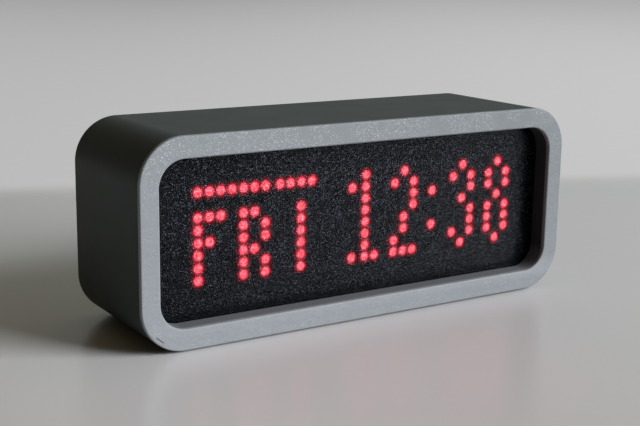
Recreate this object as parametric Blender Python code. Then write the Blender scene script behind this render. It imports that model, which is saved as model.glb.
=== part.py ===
"""A desk clock with a dot matrix display, as the separate pieces that it is put together from.

Metres, +Z up. The display faces -Y and reads along +X. The origin lies under the middle of the
clock, on the surface that its feet stand on.
"""

import math

import bmesh
import bpy
from mathutils import Matrix, Vector

MM = 0.001

# Clearance between pieces that touch, how far a cutter runs past what it cuts, how deep a boss
# sinks into the wall that it grows from, and the distance at which equal points merge
FIT = 0.3 * MM
OVERRUN = 1.0 * MM
ROOT = 0.5 * MM
WELD = 0.001 * MM

# Facets of round shapes, and the angle from which an edge is shaded sharp
CORNER_STEPS = 6
EDGE_STEPS = 3
INNER_EDGE_STEPS = 2
LENS_SIDES = 8
BUTTON_SIDES = 20
SCREW_SIDES = 10
DISC_SIDES = 20
SHARP = math.radians(30)

# The dot matrix: square modules side by side, each with as many dots up as across
DOT_PITCH = 4.0 * MM
DOTS_PER_SIDE = 8
MODULE_COUNT = 4
MODULE_GAP = 1.3 * MM
MODULE_DEPTH = 8.0 * MM
MODULE_EDGE = 0.5 * MM
LENS_RADIUS = 1.5 * MM
LENS_RISE = 0.4 * MM

# The case round it
BORDER_SIDE = 10.75 * MM
BORDER_TOP = 10.15 * MM
DISPLAY_DROP = 0.3 * MM
RIM_SIDE = 6.3 * MM
RIM_TOP = 6.85 * MM
CASE_DEPTH = 50.6 * MM
CASE_RADIUS = 14.5 * MM
OPENING_RADIUS = 8.6 * MM
RECESS_DEPTH = 7.15 * MM
FOOT_PROUD = 0.6 * MM

# Front bezel: a flat ring, with a rib behind it that locates it in the sleeve
BEZEL_THICKNESS = 1.5 * MM
BEZEL_OUTER_ROUND = 0.5 * MM
BEZEL_INNER_ROUND = 0.5 * MM
BEZEL_RIB_DEPTH = 2.0 * MM

# Case sleeve
SLEEVE_WALL = 3.0 * MM
SLEEVE_REAR_ROUND = 1.0 * MM
SLEEVE_REAR_CHAMFER = 0.4 * MM
SHOULDER_HEIGHT = 1.6 * MM
SHOULDER_DEPTH = 2.5 * MM
BOSS_RADIUS = 5.0 * MM
BOSS_LENGTH = 12.0 * MM

# Window frame, window and the carrier that clamps it
FRAME_WALL = 1.5 * MM
WINDOW_LAP = 1.6 * MM
WINDOW_THICKNESS = 1.2 * MM
CARRIER_THICKNESS = 3.0 * MM
CARRIER_CORNER = 1.0 * MM
CARRIER_POST_RADIUS = 2.75 * MM
CARRIER_POST_INSET = 12.0 * MM
CARRIER_POST_OFFSET = 1.75 * MM

# Display board with its driver chips
BOARD_THICKNESS = 1.6 * MM
BOARD_CORNER = 2.0 * MM
LED_BOARD_MARGIN_SIDE = 3.0 * MM
LED_BOARD_MARGIN_TOP = 8.0 * MM
CHIP_LENGTH = 15.4 * MM
CHIP_WIDTH = 7.5 * MM
CHIP_HEIGHT = 2.3 * MM
CHIP_TAPER = 0.35 * MM
LEAD_SPREAD = 1.4 * MM
LEAD_THICKNESS = 0.3 * MM
LEAD_FOOT = 0.6 * MM

# Rear cover
COVER_THICKNESS = 3.0 * MM
COVER_RECESS = 1.0 * MM
COVER_EDGE = 0.4 * MM
COVER_POST_RADIUS = 3.0 * MM

# Main board, its rear side and its front side
MAIN_BOARD_MARGIN_SIDE = 16.0 * MM
MAIN_BOARD_MARGIN_TOP = 9.0 * MM
MAIN_BOARD_GAP = 7.9 * MM
POST_INSET = 4.5 * MM
CONTROLLER_LENGTH = 25.5 * MM
CONTROLLER_WIDTH = 18.0 * MM
CONTROLLER_BASE = 0.8 * MM
CONTROLLER_CAN = 2.4 * MM
CONTROLLER_ANTENNA = 6.0 * MM
CONTROLLER_MARGIN = 1.0 * MM
CONTROLLER_X_SHARE = -0.24
CLOCK_CHIP_LENGTH = 10.3 * MM
CLOCK_CHIP_X_SHARE = 0.06
CLOCK_CHIP_RAISE = 9.0 * MM
CELL_RADIUS = 10.0 * MM
CELL_HEIGHT = 3.2 * MM
CELL_CROWN_RADIUS = 8.6 * MM
CELL_CROWN_HEIGHT = 0.6 * MM
HOLDER_WALL = 1.4 * MM
HOLDER_FLOOR = 0.8 * MM
HOLDER_RIM = 3.0 * MM
HOLDER_NOTCH = 9.0 * MM
CELL_X_SHARE = 0.27
BUZZER_RADIUS = 6.0 * MM
BUZZER_HEIGHT = 6.5 * MM
BUZZER_EDGE = 0.5 * MM
BUZZER_HOLE_RADIUS = 1.2 * MM
BUZZER_HOLE_DEPTH = 2.0 * MM
BUZZER_X_SHARE = 0.375

# Sound holes in the rear cover: one in the middle and a ring round it
SOUND_HOLE_RADIUS = 0.8 * MM
SOUND_RING_RADIUS = 3.2 * MM
SOUND_RING_COUNT = 6
SOUND_HOLE_SIDES = 8

# Power socket
SOCKET_WIDTH = 8.9 * MM
SOCKET_HEIGHT = 3.2 * MM
SOCKET_WALL = 0.35 * MM
SOCKET_MOUTH_DEPTH = 6.2 * MM
SOCKET_TONGUE_WIDTH = 6.6 * MM
SOCKET_TONGUE_THICKNESS = 0.7 * MM
SOCKET_TONGUE_LENGTH = 4.6 * MM
SOCKET_X_SHARE = -0.38
SOCKET_STEPS = 4

# Push buttons in a row, and the tact switches that they press
BUTTON_NAMES = ("alarm", "down", "up", "set")
BUTTON_PITCH = 14.0 * MM
BUTTON_ROW_X_SHARE = 0.06
BUTTON_ROW_RAISE = 5.0 * MM
BUTTON_RADIUS = 3.5 * MM
BUTTON_PROUD = 0.8 * MM
BUTTON_ROUND = 0.4 * MM
BUTTON_FLANGE_RADIUS = 4.6 * MM
BUTTON_FLANGE_THICKNESS = 1.0 * MM
BUTTON_STEM_RADIUS = 1.6 * MM
BUTTON_TRAVEL = 0.5 * MM
SWITCH_SIZE = 6.0 * MM
SWITCH_HEIGHT = 3.5 * MM
SWITCH_CORNER = 0.5 * MM
PLUNGER_RADIUS = 1.75 * MM
PLUNGER_PROUD = 1.5 * MM
PLUNGER_SUNK = 1.0 * MM
PLUNGER_EDGE = 0.25 * MM

# Alarm slider and the slide switch behind it
SLIDER_X_SHARE = -0.23
SLIDER_TRAVEL = 2.5 * MM
SLIDER_PAD_LENGTH = 4.4 * MM
SLIDER_PAD_HEIGHT = 3.4 * MM
SLIDER_PROUD = 0.7 * MM
SLIDER_CORNER = 0.6 * MM
SLIDER_SHIELD_MARGIN = 1.2 * MM
SLIDER_SHIELD_THICKNESS = 1.0 * MM
SLIDER_TONGUE_LENGTH = 1.6 * MM
SLIDER_TONGUE_WIDTH = 1.4 * MM
SLIDER_TONGUE_SUNK = 1.0 * MM
SLIDER_RIB_LENGTH = 0.5 * MM
SLIDER_RIB_COUNT = 3
SLIDER_RIB_CUT = 0.3 * MM
SLIDE_SWITCH_LENGTH = 9.0 * MM
SLIDE_SWITCH_WIDTH = 4.4 * MM
SLIDE_SWITCH_HEIGHT = 3.5 * MM

# Ribbon cable between the boards
CONNECTOR_LENGTH = 15.0 * MM
CONNECTOR_WIDTH = 5.0 * MM
CONNECTOR_HEIGHT = 2.8 * MM
CONNECTOR_EDGE = 0.5 * MM
CONNECTOR_DROP = 13.0 * MM
RIBBON_WIDTH = 12.7 * MM
RIBBON_THICKNESS = 0.9 * MM
RIBBON_OFFSET = 12.0 * MM
RIBBON_BEND = 1.3 * MM
RIBBON_STEPS = 6

# Screws
COVER_SCREW_HEAD_RADIUS = 2.75 * MM
COVER_SCREW_HEAD_HEIGHT = 1.5 * MM
COVER_SCREW_LENGTH = 9.0 * MM
BOARD_SCREW_HEAD_RADIUS = 2.2 * MM
BOARD_SCREW_HEAD_HEIGHT = 1.3 * MM
BOARD_SCREW_LENGTH = 6.0 * MM
SCREW_RADIUS = 1.2 * MM
SCREW_EDGE = 0.3 * MM
DRIVE_RADIUS = 1.2 * MM
DRIVE_DEPTH = 0.8 * MM
DRIVE_SIDES = 6

# Feet, in round pockets under the sleeve
FOOT_RADIUS = 5.0 * MM
FOOT_POCKET = 1.0 * MM
FOOT_EDGE = 0.25 * MM
FOOT_INSET_SIDE = 21.0 * MM
FOOT_INSET_FRONT = 12.0 * MM
FOOT_INSET_REAR = 11.0 * MM

# Sizes that follow from these
MODULE_SIZE = DOTS_PER_SIDE * DOT_PITCH
MODULE_STEP = MODULE_SIZE + MODULE_GAP
ARRAY_WIDTH = MODULE_COUNT * MODULE_STEP - MODULE_GAP
OPENING_WIDTH = ARRAY_WIDTH + 2 * BORDER_SIDE
OPENING_HEIGHT = MODULE_SIZE + 2 * BORDER_TOP
CASE_WIDTH = OPENING_WIDTH + 2 * RIM_SIDE
CASE_HEIGHT = OPENING_HEIGHT + 2 * RIM_TOP
INNER_WIDTH = CASE_WIDTH - 2 * SLEEVE_WALL
INNER_HEIGHT = CASE_HEIGHT - 2 * SLEEVE_WALL
INNER_RADIUS = CASE_RADIUS - SLEEVE_WALL
WINDOW_WIDTH = OPENING_WIDTH + 2 * WINDOW_LAP
WINDOW_HEIGHT = OPENING_HEIGHT + 2 * WINDOW_LAP
WINDOW_RADIUS = OPENING_RADIUS + WINDOW_LAP
LED_BOARD_WIDTH = ARRAY_WIDTH + 2 * LED_BOARD_MARGIN_SIDE
LED_BOARD_HEIGHT = MODULE_SIZE + 2 * LED_BOARD_MARGIN_TOP
MAIN_BOARD_WIDTH = INNER_WIDTH - 2 * MAIN_BOARD_MARGIN_SIDE
MAIN_BOARD_HEIGHT = INNER_HEIGHT - 2 * MAIN_BOARD_MARGIN_TOP

# Planes from the front of the case to its back, as places along Y
FRONT = -CASE_DEPTH / 2
BACK = CASE_DEPTH / 2
BEZEL_BACK = FRONT + BEZEL_THICKNESS
SLEEVE_FRONT = BEZEL_BACK + FIT
RIB_BACK = BEZEL_BACK + BEZEL_RIB_DEPTH
WINDOW_FRONT = FRONT + RECESS_DEPTH
WINDOW_BACK = WINDOW_FRONT + WINDOW_THICKNESS
CARRIER_FRONT = WINDOW_BACK + FIT
CARRIER_BACK = CARRIER_FRONT + CARRIER_THICKNESS
SHOULDER_FRONT = CARRIER_BACK + FIT
MODULE_FACE = WINDOW_BACK + FIT + LENS_RISE
MODULE_BACK = MODULE_FACE + MODULE_DEPTH
LED_BOARD_FRONT = MODULE_BACK + FIT
LED_BOARD_BACK = LED_BOARD_FRONT + BOARD_THICKNESS
COVER_BACK = BACK - COVER_RECESS
COVER_FRONT = COVER_BACK - COVER_THICKNESS
MAIN_BOARD_BACK = COVER_FRONT - MAIN_BOARD_GAP
MAIN_BOARD_FRONT = MAIN_BOARD_BACK - BOARD_THICKNESS

# Heights of the middle of the case and of the middle of the display
CASE_MIDDLE = FOOT_PROUD + CASE_HEIGHT / 2
DISPLAY_MIDDLE = CASE_MIDDLE - DISPLAY_DROP

ALONG_Y = Vector((0, 1, 0))
ALONG_Z = Vector((0, 0, 1))
FOUR_CORNERS = ((-1, -1), (1, -1), (1, 1), (-1, 1))


def material(name, colour, roughness, metallic=0, alpha=1):
    """A plain finish: colour is linear red, green and blue."""
    finish = bpy.data.materials.new(name)
    finish.use_nodes = True
    shader = finish.node_tree.nodes["Principled BSDF"]
    shader.inputs["Base Color"].default_value = (*colour, 1)
    shader.inputs["Roughness"].default_value = roughness
    shader.inputs["Metallic"].default_value = metallic
    shader.inputs["Alpha"].default_value = alpha
    finish.diffuse_color = (*colour, alpha)
    return finish


def rounded_rectangle(width, height, radius, steps=CORNER_STEPS):
    """The outline of an upright plate about the origin, as (x, z), counterclockwise."""
    points = []
    for quarter, (side_x, side_z) in enumerate(((1, 1), (-1, 1), (-1, -1), (1, -1))):
        middle_x = side_x * (width / 2 - radius)
        middle_z = side_z * (height / 2 - radius)
        for step in range(steps + 1):
            angle = (quarter + step / steps) * math.pi / 2
            x = middle_x + radius * math.cos(angle)
            z = middle_z + radius * math.sin(angle)
            points.append((x, z))
    return points


def inset_rectangle(width, height, radius, inset):
    """The same outline drawn in by inset all round; a negative inset draws it out."""
    return rounded_rectangle(width - 2 * inset, height - 2 * inset, radius - inset)


def at(outline, y):
    """An outline set upright at a place along Y."""
    return [(x, y, z) for x, z in outline]


def rounding(radius, steps=EDGE_STEPS):
    """Points of a rounded edge from its side to its face, as (inset, distance from the face)."""
    turns = [step / steps * math.pi / 2 for step in range(steps + 1)]
    return [(radius * (1 - math.cos(turn)), radius * (1 - math.sin(turn))) for turn in turns]


def skin(bm, loops, ring=False):
    """A solid through loops of equally many points: a ring closes on itself, others get ends."""
    rows = [[bm.verts.new(point) for point in loop] for loop in loops]
    pairs = list(zip(rows, rows[1:]))
    if ring:
        pairs.append((rows[-1], rows[0]))
    else:
        bm.faces.new(rows[0])
        bm.faces.new(rows[-1])
    for near, far in pairs:
        for index in range(len(near)):
            bm.faces.new((near[index - 1], near[index], far[index], far[index - 1]))


def turn(bm, profile, sides, centre=(0, 0, 0), axis=ALONG_Y):
    """A solid turned about an axis: the profile is (radius, place along the axis) in order."""
    centre = Vector(centre)
    outwards = axis.orthogonal().normalized()
    before = set(bm.verts)
    points = [centre + outwards * radius + axis * along for radius, along in profile]
    verts = [bm.verts.new(point) for point in points]
    edges = [bm.edges.new(pair) for pair in zip(verts, verts[1:])]
    angle = 2 * math.pi
    bmesh.ops.spin(bm, geom=verts + edges, cent=centre, axis=axis, angle=angle, steps=sides)
    made = [vert for vert in bm.verts if vert not in before]
    bmesh.ops.remove_doubles(bm, verts=made, dist=WELD)


def cylinder(bm, radius, start, end, sides, centre=(0, 0, 0), axis=ALONG_Y):
    """A plain cylinder from start to end along an axis through centre."""
    turn(bm, [(0, start), (radius, start), (radius, end), (0, end)], sides, centre, axis)


def block(bm, low, high):
    """A box between two opposite corners."""
    size = Vector(high) - Vector(low)
    middle = (Vector(high) + Vector(low)) / 2
    bmesh.ops.create_cube(bm, size=1, matrix=Matrix.LocRotScale(middle, None, size))


def piece(name, bm, finish, location=(0, 0, 0)):
    """The named object of one solid, with its faces pointing out."""
    bmesh.ops.recalc_face_normals(bm, faces=bm.faces)
    mesh = bpy.data.meshes.new(name)
    bm.to_mesh(mesh)
    bm.free()
    mesh.materials.append(finish)
    shade(mesh)
    obj = bpy.data.objects.new(name, mesh)
    obj.location = location
    bpy.context.collection.objects.link(obj)
    return obj


def shade(mesh):
    """Smooth shading that stops at sharp edges."""
    mesh.shade_smooth()
    mesh.set_sharp_from_angle(angle=SHARP)


def combine(obj, bm, operation):
    """Joins the solids in bm to obj, or cuts them out of it, and settles the result."""
    tool = piece(f"{obj.name}_{operation.lower()}", bm, obj.data.materials[0], obj.location)
    tool.hide_render = True
    tool.display_type = "WIRE"
    modifier = obj.modifiers.new(operation.title(), "BOOLEAN")
    modifier.operation = operation
    modifier.object = tool
    bpy.context.view_layer.update()
    shaped = obj.evaluated_get(bpy.context.evaluated_depsgraph_get())
    mesh = bpy.data.meshes.new_from_object(shaped)
    obj.modifiers.clear()
    obj.data = mesh
    mesh.name = obj.name
    shade(mesh)
    bpy.data.objects.remove(tool)


def front_bezel(finish):
    """A flat ring with rounded edges, and a rib behind it between the sleeve and the frame."""
    outer = (CASE_WIDTH, CASE_HEIGHT, CASE_RADIUS)
    opening = (OPENING_WIDTH, OPENING_HEIGHT, OPENING_RADIUS)
    inner = (INNER_WIDTH, INNER_HEIGHT, INNER_RADIUS)
    loops = [at(rounded_rectangle(*outer), BEZEL_BACK)]
    for inset, drop in rounding(BEZEL_OUTER_ROUND):
        loops.append(at(inset_rectangle(*outer, inset), FRONT + drop))
    for inset, drop in reversed(rounding(BEZEL_INNER_ROUND, INNER_EDGE_STEPS)):
        loops.append(at(inset_rectangle(*opening, -inset), FRONT + drop))
    loops.append(at(rounded_rectangle(*opening), BEZEL_BACK))
    rib_inner = inset_rectangle(*opening, -FRAME_WALL - FIT)
    rib_outer = inset_rectangle(*inner, FIT)
    loops.append(at(rib_inner, BEZEL_BACK))
    loops.append(at(rib_inner, RIB_BACK))
    loops.append(at(rib_outer, RIB_BACK))
    loops.append(at(rib_outer, BEZEL_BACK))
    bm = bmesh.new()
    skin(bm, loops, ring=True)
    return piece("front_bezel", bm, finish, (0, 0, CASE_MIDDLE))


def boss_places():
    """Where the rear screws stand: in the inner corners, each boss sunk a little into the wall."""
    reach = (INNER_RADIUS - BOSS_RADIUS + ROOT) * math.sqrt(1 / 2)
    x = INNER_WIDTH / 2 - INNER_RADIUS + reach
    z = INNER_HEIGHT / 2 - INNER_RADIUS + reach
    return [(side_x * x, side_z * z) for side_x, side_z in FOUR_CORNERS]


def foot_places():
    """Name, x and y of each foot."""
    x = CASE_WIDTH / 2 - FOOT_INSET_SIDE
    ends = {"front": FRONT + FOOT_INSET_FRONT, "rear": BACK - FOOT_INSET_REAR}
    sides = {"left": -x, "right": x}
    return [(f"foot_{end}_{side}", sides[side], ends[end]) for end in ends for side in sides]


def case_sleeve(finish):
    """The tube, with a shoulder inside behind the display and a boss in each rear corner."""
    outer = (CASE_WIDTH, CASE_HEIGHT, CASE_RADIUS)
    inner = (INNER_WIDTH, INNER_HEIGHT, INNER_RADIUS)
    shoulder = inset_rectangle(*inner, SHOULDER_HEIGHT)
    loops = [at(rounded_rectangle(*outer), SLEEVE_FRONT)]
    for inset, drop in rounding(SLEEVE_REAR_ROUND):
        loops.append(at(inset_rectangle(*outer, inset), BACK - drop))
    loops.append(at(inset_rectangle(*inner, -SLEEVE_REAR_CHAMFER), BACK))
    loops.append(at(rounded_rectangle(*inner), BACK - SLEEVE_REAR_CHAMFER))
    loops.append(at(rounded_rectangle(*inner), SHOULDER_FRONT + SHOULDER_DEPTH))
    loops.append(at(shoulder, SHOULDER_FRONT + SHOULDER_DEPTH))
    loops.append(at(shoulder, SHOULDER_FRONT))
    loops.append(at(rounded_rectangle(*inner), SHOULDER_FRONT))
    loops.append(at(rounded_rectangle(*inner), SLEEVE_FRONT))
    bm = bmesh.new()
    skin(bm, loops, ring=True)
    sleeve = piece("case_sleeve", bm, finish, (0, 0, CASE_MIDDLE))

    boss_end = COVER_FRONT - FIT
    bosses = bmesh.new()
    for x, z in boss_places():
        cylinder(bosses, BOSS_RADIUS, boss_end - BOSS_LENGTH, boss_end, SCREW_SIDES, (x, 0, z))
    combine(sleeve, bosses, "UNION")

    cuts = bmesh.new()
    pilot_end = screw_seat() - COVER_SCREW_LENGTH - FIT
    for x, z in boss_places():
        pilot = (SCREW_RADIUS + FIT, pilot_end, boss_end + OVERRUN)
        cylinder(cuts, *pilot, SCREW_SIDES, (x, 0, z))
    for _, x, y in foot_places():
        pocket = (FOOT_RADIUS + FIT, -CASE_HEIGHT / 2 - OVERRUN, -CASE_HEIGHT / 2 + FOOT_POCKET)
        cylinder(cuts, *pocket, DISC_SIDES, (x, y, 0), ALONG_Z)
    combine(sleeve, cuts, "DIFFERENCE")
    return sleeve


def window_frame(finish):
    """The walls of the recess, stepping out to a skirt round the window and its carrier."""
    opening = (OPENING_WIDTH, OPENING_HEIGHT, OPENING_RADIUS)
    rebate = (WINDOW_WIDTH, WINDOW_HEIGHT, WINDOW_RADIUS)
    inner = (INNER_WIDTH, INNER_HEIGHT, INNER_RADIUS)
    ledge = WINDOW_FRONT - FIT
    loops = [
        at(rounded_rectangle(*opening), SLEEVE_FRONT),
        at(rounded_rectangle(*opening), ledge),
        at(inset_rectangle(*rebate, -FIT), ledge),
        at(inset_rectangle(*rebate, -FIT), CARRIER_BACK),
        at(inset_rectangle(*inner, FIT), CARRIER_BACK),
        at(inset_rectangle(*inner, FIT), RIB_BACK + FIT),
        at(inset_rectangle(*opening, -FRAME_WALL), RIB_BACK + FIT),
        at(inset_rectangle(*opening, -FRAME_WALL), SLEEVE_FRONT),
    ]
    bm = bmesh.new()
    skin(bm, loops, ring=True)
    return piece("window_frame", bm, finish, (0, 0, CASE_MIDDLE))


def display_window(finish):
    """A flat smoked sheet that laps the opening all round."""
    sheet = rounded_rectangle(WINDOW_WIDTH, WINDOW_HEIGHT, WINDOW_RADIUS)
    bm = bmesh.new()
    skin(bm, [at(sheet, WINDOW_FRONT), at(sheet, WINDOW_BACK)])
    return piece("display_window", bm, finish, (0, 0, CASE_MIDDLE))


def carrier_post_places():
    """Where the display board is screwed to its carrier, above and below the modules."""
    x = ARRAY_WIDTH / 2 - CARRIER_POST_INSET
    z = MODULE_SIZE / 2 + CARRIER_POST_OFFSET + CARRIER_POST_RADIUS
    return [(side_x * x, side_z * z) for side_x, side_z in FOUR_CORNERS]


def display_carrier(finish):
    """A frame behind the window, open where the modules come through, with four posts."""
    plate = rounded_rectangle(WINDOW_WIDTH, WINDOW_HEIGHT, WINDOW_RADIUS)
    hole_width = ARRAY_WIDTH + 2 * FIT
    hole_height = MODULE_SIZE + 2 * FIT
    hole = rounded_rectangle(hole_width, hole_height, CARRIER_CORNER)
    hole = [(x, z - DISPLAY_DROP) for x, z in hole]
    bm = bmesh.new()
    loops = [at(plate, CARRIER_FRONT), at(plate, CARRIER_BACK)]
    skin(bm, loops + [at(hole, CARRIER_BACK), at(hole, CARRIER_FRONT)], ring=True)
    carrier = piece("display_carrier", bm, finish, (0, 0, CASE_MIDDLE))

    posts = bmesh.new()
    cuts = bmesh.new()
    start = CARRIER_BACK - ROOT
    end = LED_BOARD_FRONT - FIT
    screw_end = LED_BOARD_BACK + FIT - BOARD_SCREW_LENGTH
    for x, z in carrier_post_places():
        centre = (x, 0, z - DISPLAY_DROP)
        cylinder(posts, CARRIER_POST_RADIUS, start, end, SCREW_SIDES, centre)
        pilot = (SCREW_RADIUS + FIT, screw_end - FIT, end + OVERRUN)
        cylinder(cuts, *pilot, SCREW_SIDES, centre)
    combine(carrier, posts, "UNION")
    combine(carrier, cuts, "DIFFERENCE")
    return carrier


def module_columns():
    """The middle of each module along X."""
    return [(index - (MODULE_COUNT - 1) / 2) * MODULE_STEP for index in range(MODULE_COUNT)]


def lens(bm, x, z):
    """A low domed lens standing on a module's face. It returns the edges round its foot."""
    foot = []
    for side in range(LENS_SIDES):
        angle = (side + 1 / 2) * 2 * math.pi / LENS_SIDES
        across = LENS_RADIUS * math.cos(angle)
        foot.append(bm.verts.new((x + across, 0, z + LENS_RADIUS * math.sin(angle))))
    crown = bm.verts.new((x, -LENS_RISE, z))
    for index in range(LENS_SIDES):
        bm.faces.new((foot[index - 1], foot[index], crown))
    return [bm.edges.get((foot[index - 1], foot[index])) for index in range(LENS_SIDES)]


def led_module(finish):
    """A block whose face is pierced by a square grid of dots, each under a low lens."""
    bm = bmesh.new()
    half = MODULE_SIZE / 2
    face = [(side_x * half, side_z * half) for side_x, side_z in FOUR_CORNERS]
    rim = [bm.verts.new(point) for point in at(face, 0)]
    outline = [bm.edges.new((rim[index - 1], rim[index])) for index in range(len(rim))]
    places = [(index - (DOTS_PER_SIDE - 1) / 2) * DOT_PITCH for index in range(DOTS_PER_SIDE)]
    feet = [edge for x in places for z in places for edge in lens(bm, x, z)]
    bmesh.ops.triangle_fill(bm, edges=outline + feet, normal=ALONG_Y)

    narrow = half - MODULE_EDGE
    back = [(side_x * narrow, side_z * narrow) for side_x, side_z in FOUR_CORNERS]
    waist = [bm.verts.new(point) for point in at(face, MODULE_DEPTH - MODULE_EDGE)]
    heel = [bm.verts.new(point) for point in at(back, MODULE_DEPTH)]
    for near, far in ((rim, waist), (waist, heel)):
        for index in range(len(near)):
            bm.faces.new((near[index - 1], near[index], far[index], far[index - 1]))
    bm.faces.new(heel)
    bmesh.ops.recalc_face_normals(bm, faces=bm.faces)
    mesh = bpy.data.meshes.new("led_module")
    bm.to_mesh(mesh)
    bm.free()
    mesh.materials.append(finish)
    shade(mesh)
    for number, x in enumerate(module_columns(), 1):
        obj = bpy.data.objects.new(f"led_module_{number}", mesh)
        obj.location = (x, MODULE_FACE, DISPLAY_MIDDLE)
        bpy.context.collection.objects.link(obj)


def board(name, width, height, front, middle, holes, finish):
    """A circuit board with rounded corners and a round hole for each screw."""
    outline = rounded_rectangle(width, height, BOARD_CORNER, SOCKET_STEPS)
    bm = bmesh.new()
    skin(bm, [at(outline, front), at(outline, front + BOARD_THICKNESS)])
    plate = piece(name, bm, finish, (0, 0, middle))
    cuts = bmesh.new()
    for x, z in holes:
        start = front - OVERRUN
        end = front + BOARD_THICKNESS + OVERRUN
        cylinder(cuts, SCREW_RADIUS + FIT, start, end, SCREW_SIDES, (x, 0, z))
    combine(plate, cuts, "DIFFERENCE")
    return plate


def chip_profile(width, height):
    """The end view of a chip: a tapered body and a lead bent down and out on either side."""
    knee = width / 2 + LEAD_SPREAD - LEAD_FOOT
    body = height / 2
    right = [
        (width / 2 - CHIP_TAPER, LEAD_THICKNESS / 2),
        (width / 2, body - LEAD_THICKNESS / 2),
        (knee - LEAD_THICKNESS, body - LEAD_THICKNESS / 2),
        (knee - LEAD_THICKNESS, 0),
        (width / 2 + LEAD_SPREAD, 0),
        (width / 2 + LEAD_SPREAD, LEAD_THICKNESS),
        (knee, LEAD_THICKNESS),
        (knee, body + LEAD_THICKNESS / 2),
        (width / 2, body + LEAD_THICKNESS / 2),
        (width / 2 - CHIP_TAPER, height),
    ]
    return right + [(-across, up) for across, up in reversed(right)]


def chip(name, length, side, location, finish):
    """A chip on its leads, lying along X. Side is the way it stands off its board along Y."""
    profile = chip_profile(CHIP_WIDTH, CHIP_HEIGHT)
    bm = bmesh.new()
    ends = (-length / 2, length / 2)
    skin(bm, [[(x, side * up, across) for across, up in profile] for x in ends])
    return piece(name, bm, finish, location)


def screw_seat():
    """The plane under the head of a rear cover screw, whose top lies flush with the cover."""
    return COVER_BACK - COVER_SCREW_HEAD_HEIGHT


def screw(name, head_radius, head_height, length, seat, side, place, middle, finish):
    """A flat-topped screw along Y, its head on the given side of its seat."""
    profile = [
        (0, -side * length),
        (SCREW_RADIUS, -side * length),
        (SCREW_RADIUS, 0),
        (head_radius, 0),
        (head_radius, side * (head_height - SCREW_EDGE)),
        (head_radius - SCREW_EDGE, side * head_height),
        (0, side * head_height),
    ]
    bm = bmesh.new()
    turn(bm, profile, SCREW_SIDES)
    x, z = place
    return piece(name, bm, finish, (x, seat, middle + z))


def display_electronics(finishes):
    """The modules on their board, the driver chip behind each, and the board's screws."""
    led_module(finishes["module"])
    places = carrier_post_places()
    size = (LED_BOARD_WIDTH, LED_BOARD_HEIGHT)
    board("led_board", *size, LED_BOARD_FRONT, DISPLAY_MIDDLE, places, finishes["board"])
    for number, x in enumerate(module_columns(), 1):
        spot = (x, LED_BOARD_BACK + FIT, DISPLAY_MIDDLE)
        chip(f"driver_chip_{number}", CHIP_LENGTH, 1, spot, finishes["chip"])
    for number, place in enumerate(places, 1):
        head = (BOARD_SCREW_HEAD_RADIUS, BOARD_SCREW_HEAD_HEIGHT, BOARD_SCREW_LENGTH)
        seat = (LED_BOARD_BACK + FIT, 1, place, DISPLAY_MIDDLE)
        screw(f"led_board_screw_{number}", *head, *seat, finishes["screw"])


def main_post_places():
    """Where the main board is screwed to the rear cover."""
    x = MAIN_BOARD_WIDTH / 2 - POST_INSET
    z = MAIN_BOARD_HEIGHT / 2 - POST_INSET
    return [(side_x * x, side_z * z) for side_x, side_z in FOUR_CORNERS]


def button_columns():
    """Name and place along X of each push button."""
    middle = BUTTON_ROW_X_SHARE * MAIN_BOARD_WIDTH
    last = len(BUTTON_NAMES) - 1
    steps = [(index - last / 2) * BUTTON_PITCH for index in range(len(BUTTON_NAMES))]
    return list(zip(BUTTON_NAMES, [middle + step for step in steps]))


def sound_places():
    """The middle sound hole and the ring round it."""
    x = BUZZER_X_SHARE * MAIN_BOARD_WIDTH
    places = [(x, 0)]
    for index in range(SOUND_RING_COUNT):
        angle = index * 2 * math.pi / SOUND_RING_COUNT
        across = SOUND_RING_RADIUS * math.cos(angle)
        places.append((x + across, SOUND_RING_RADIUS * math.sin(angle)))
    return places


def slot_outline(width, height, middle_x, middle_z, radius):
    """A small rounded opening about a point, as (x, z)."""
    outline = rounded_rectangle(width, height, radius, SOCKET_STEPS)
    return [(middle_x + x, middle_z + z) for x, z in outline]


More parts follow.
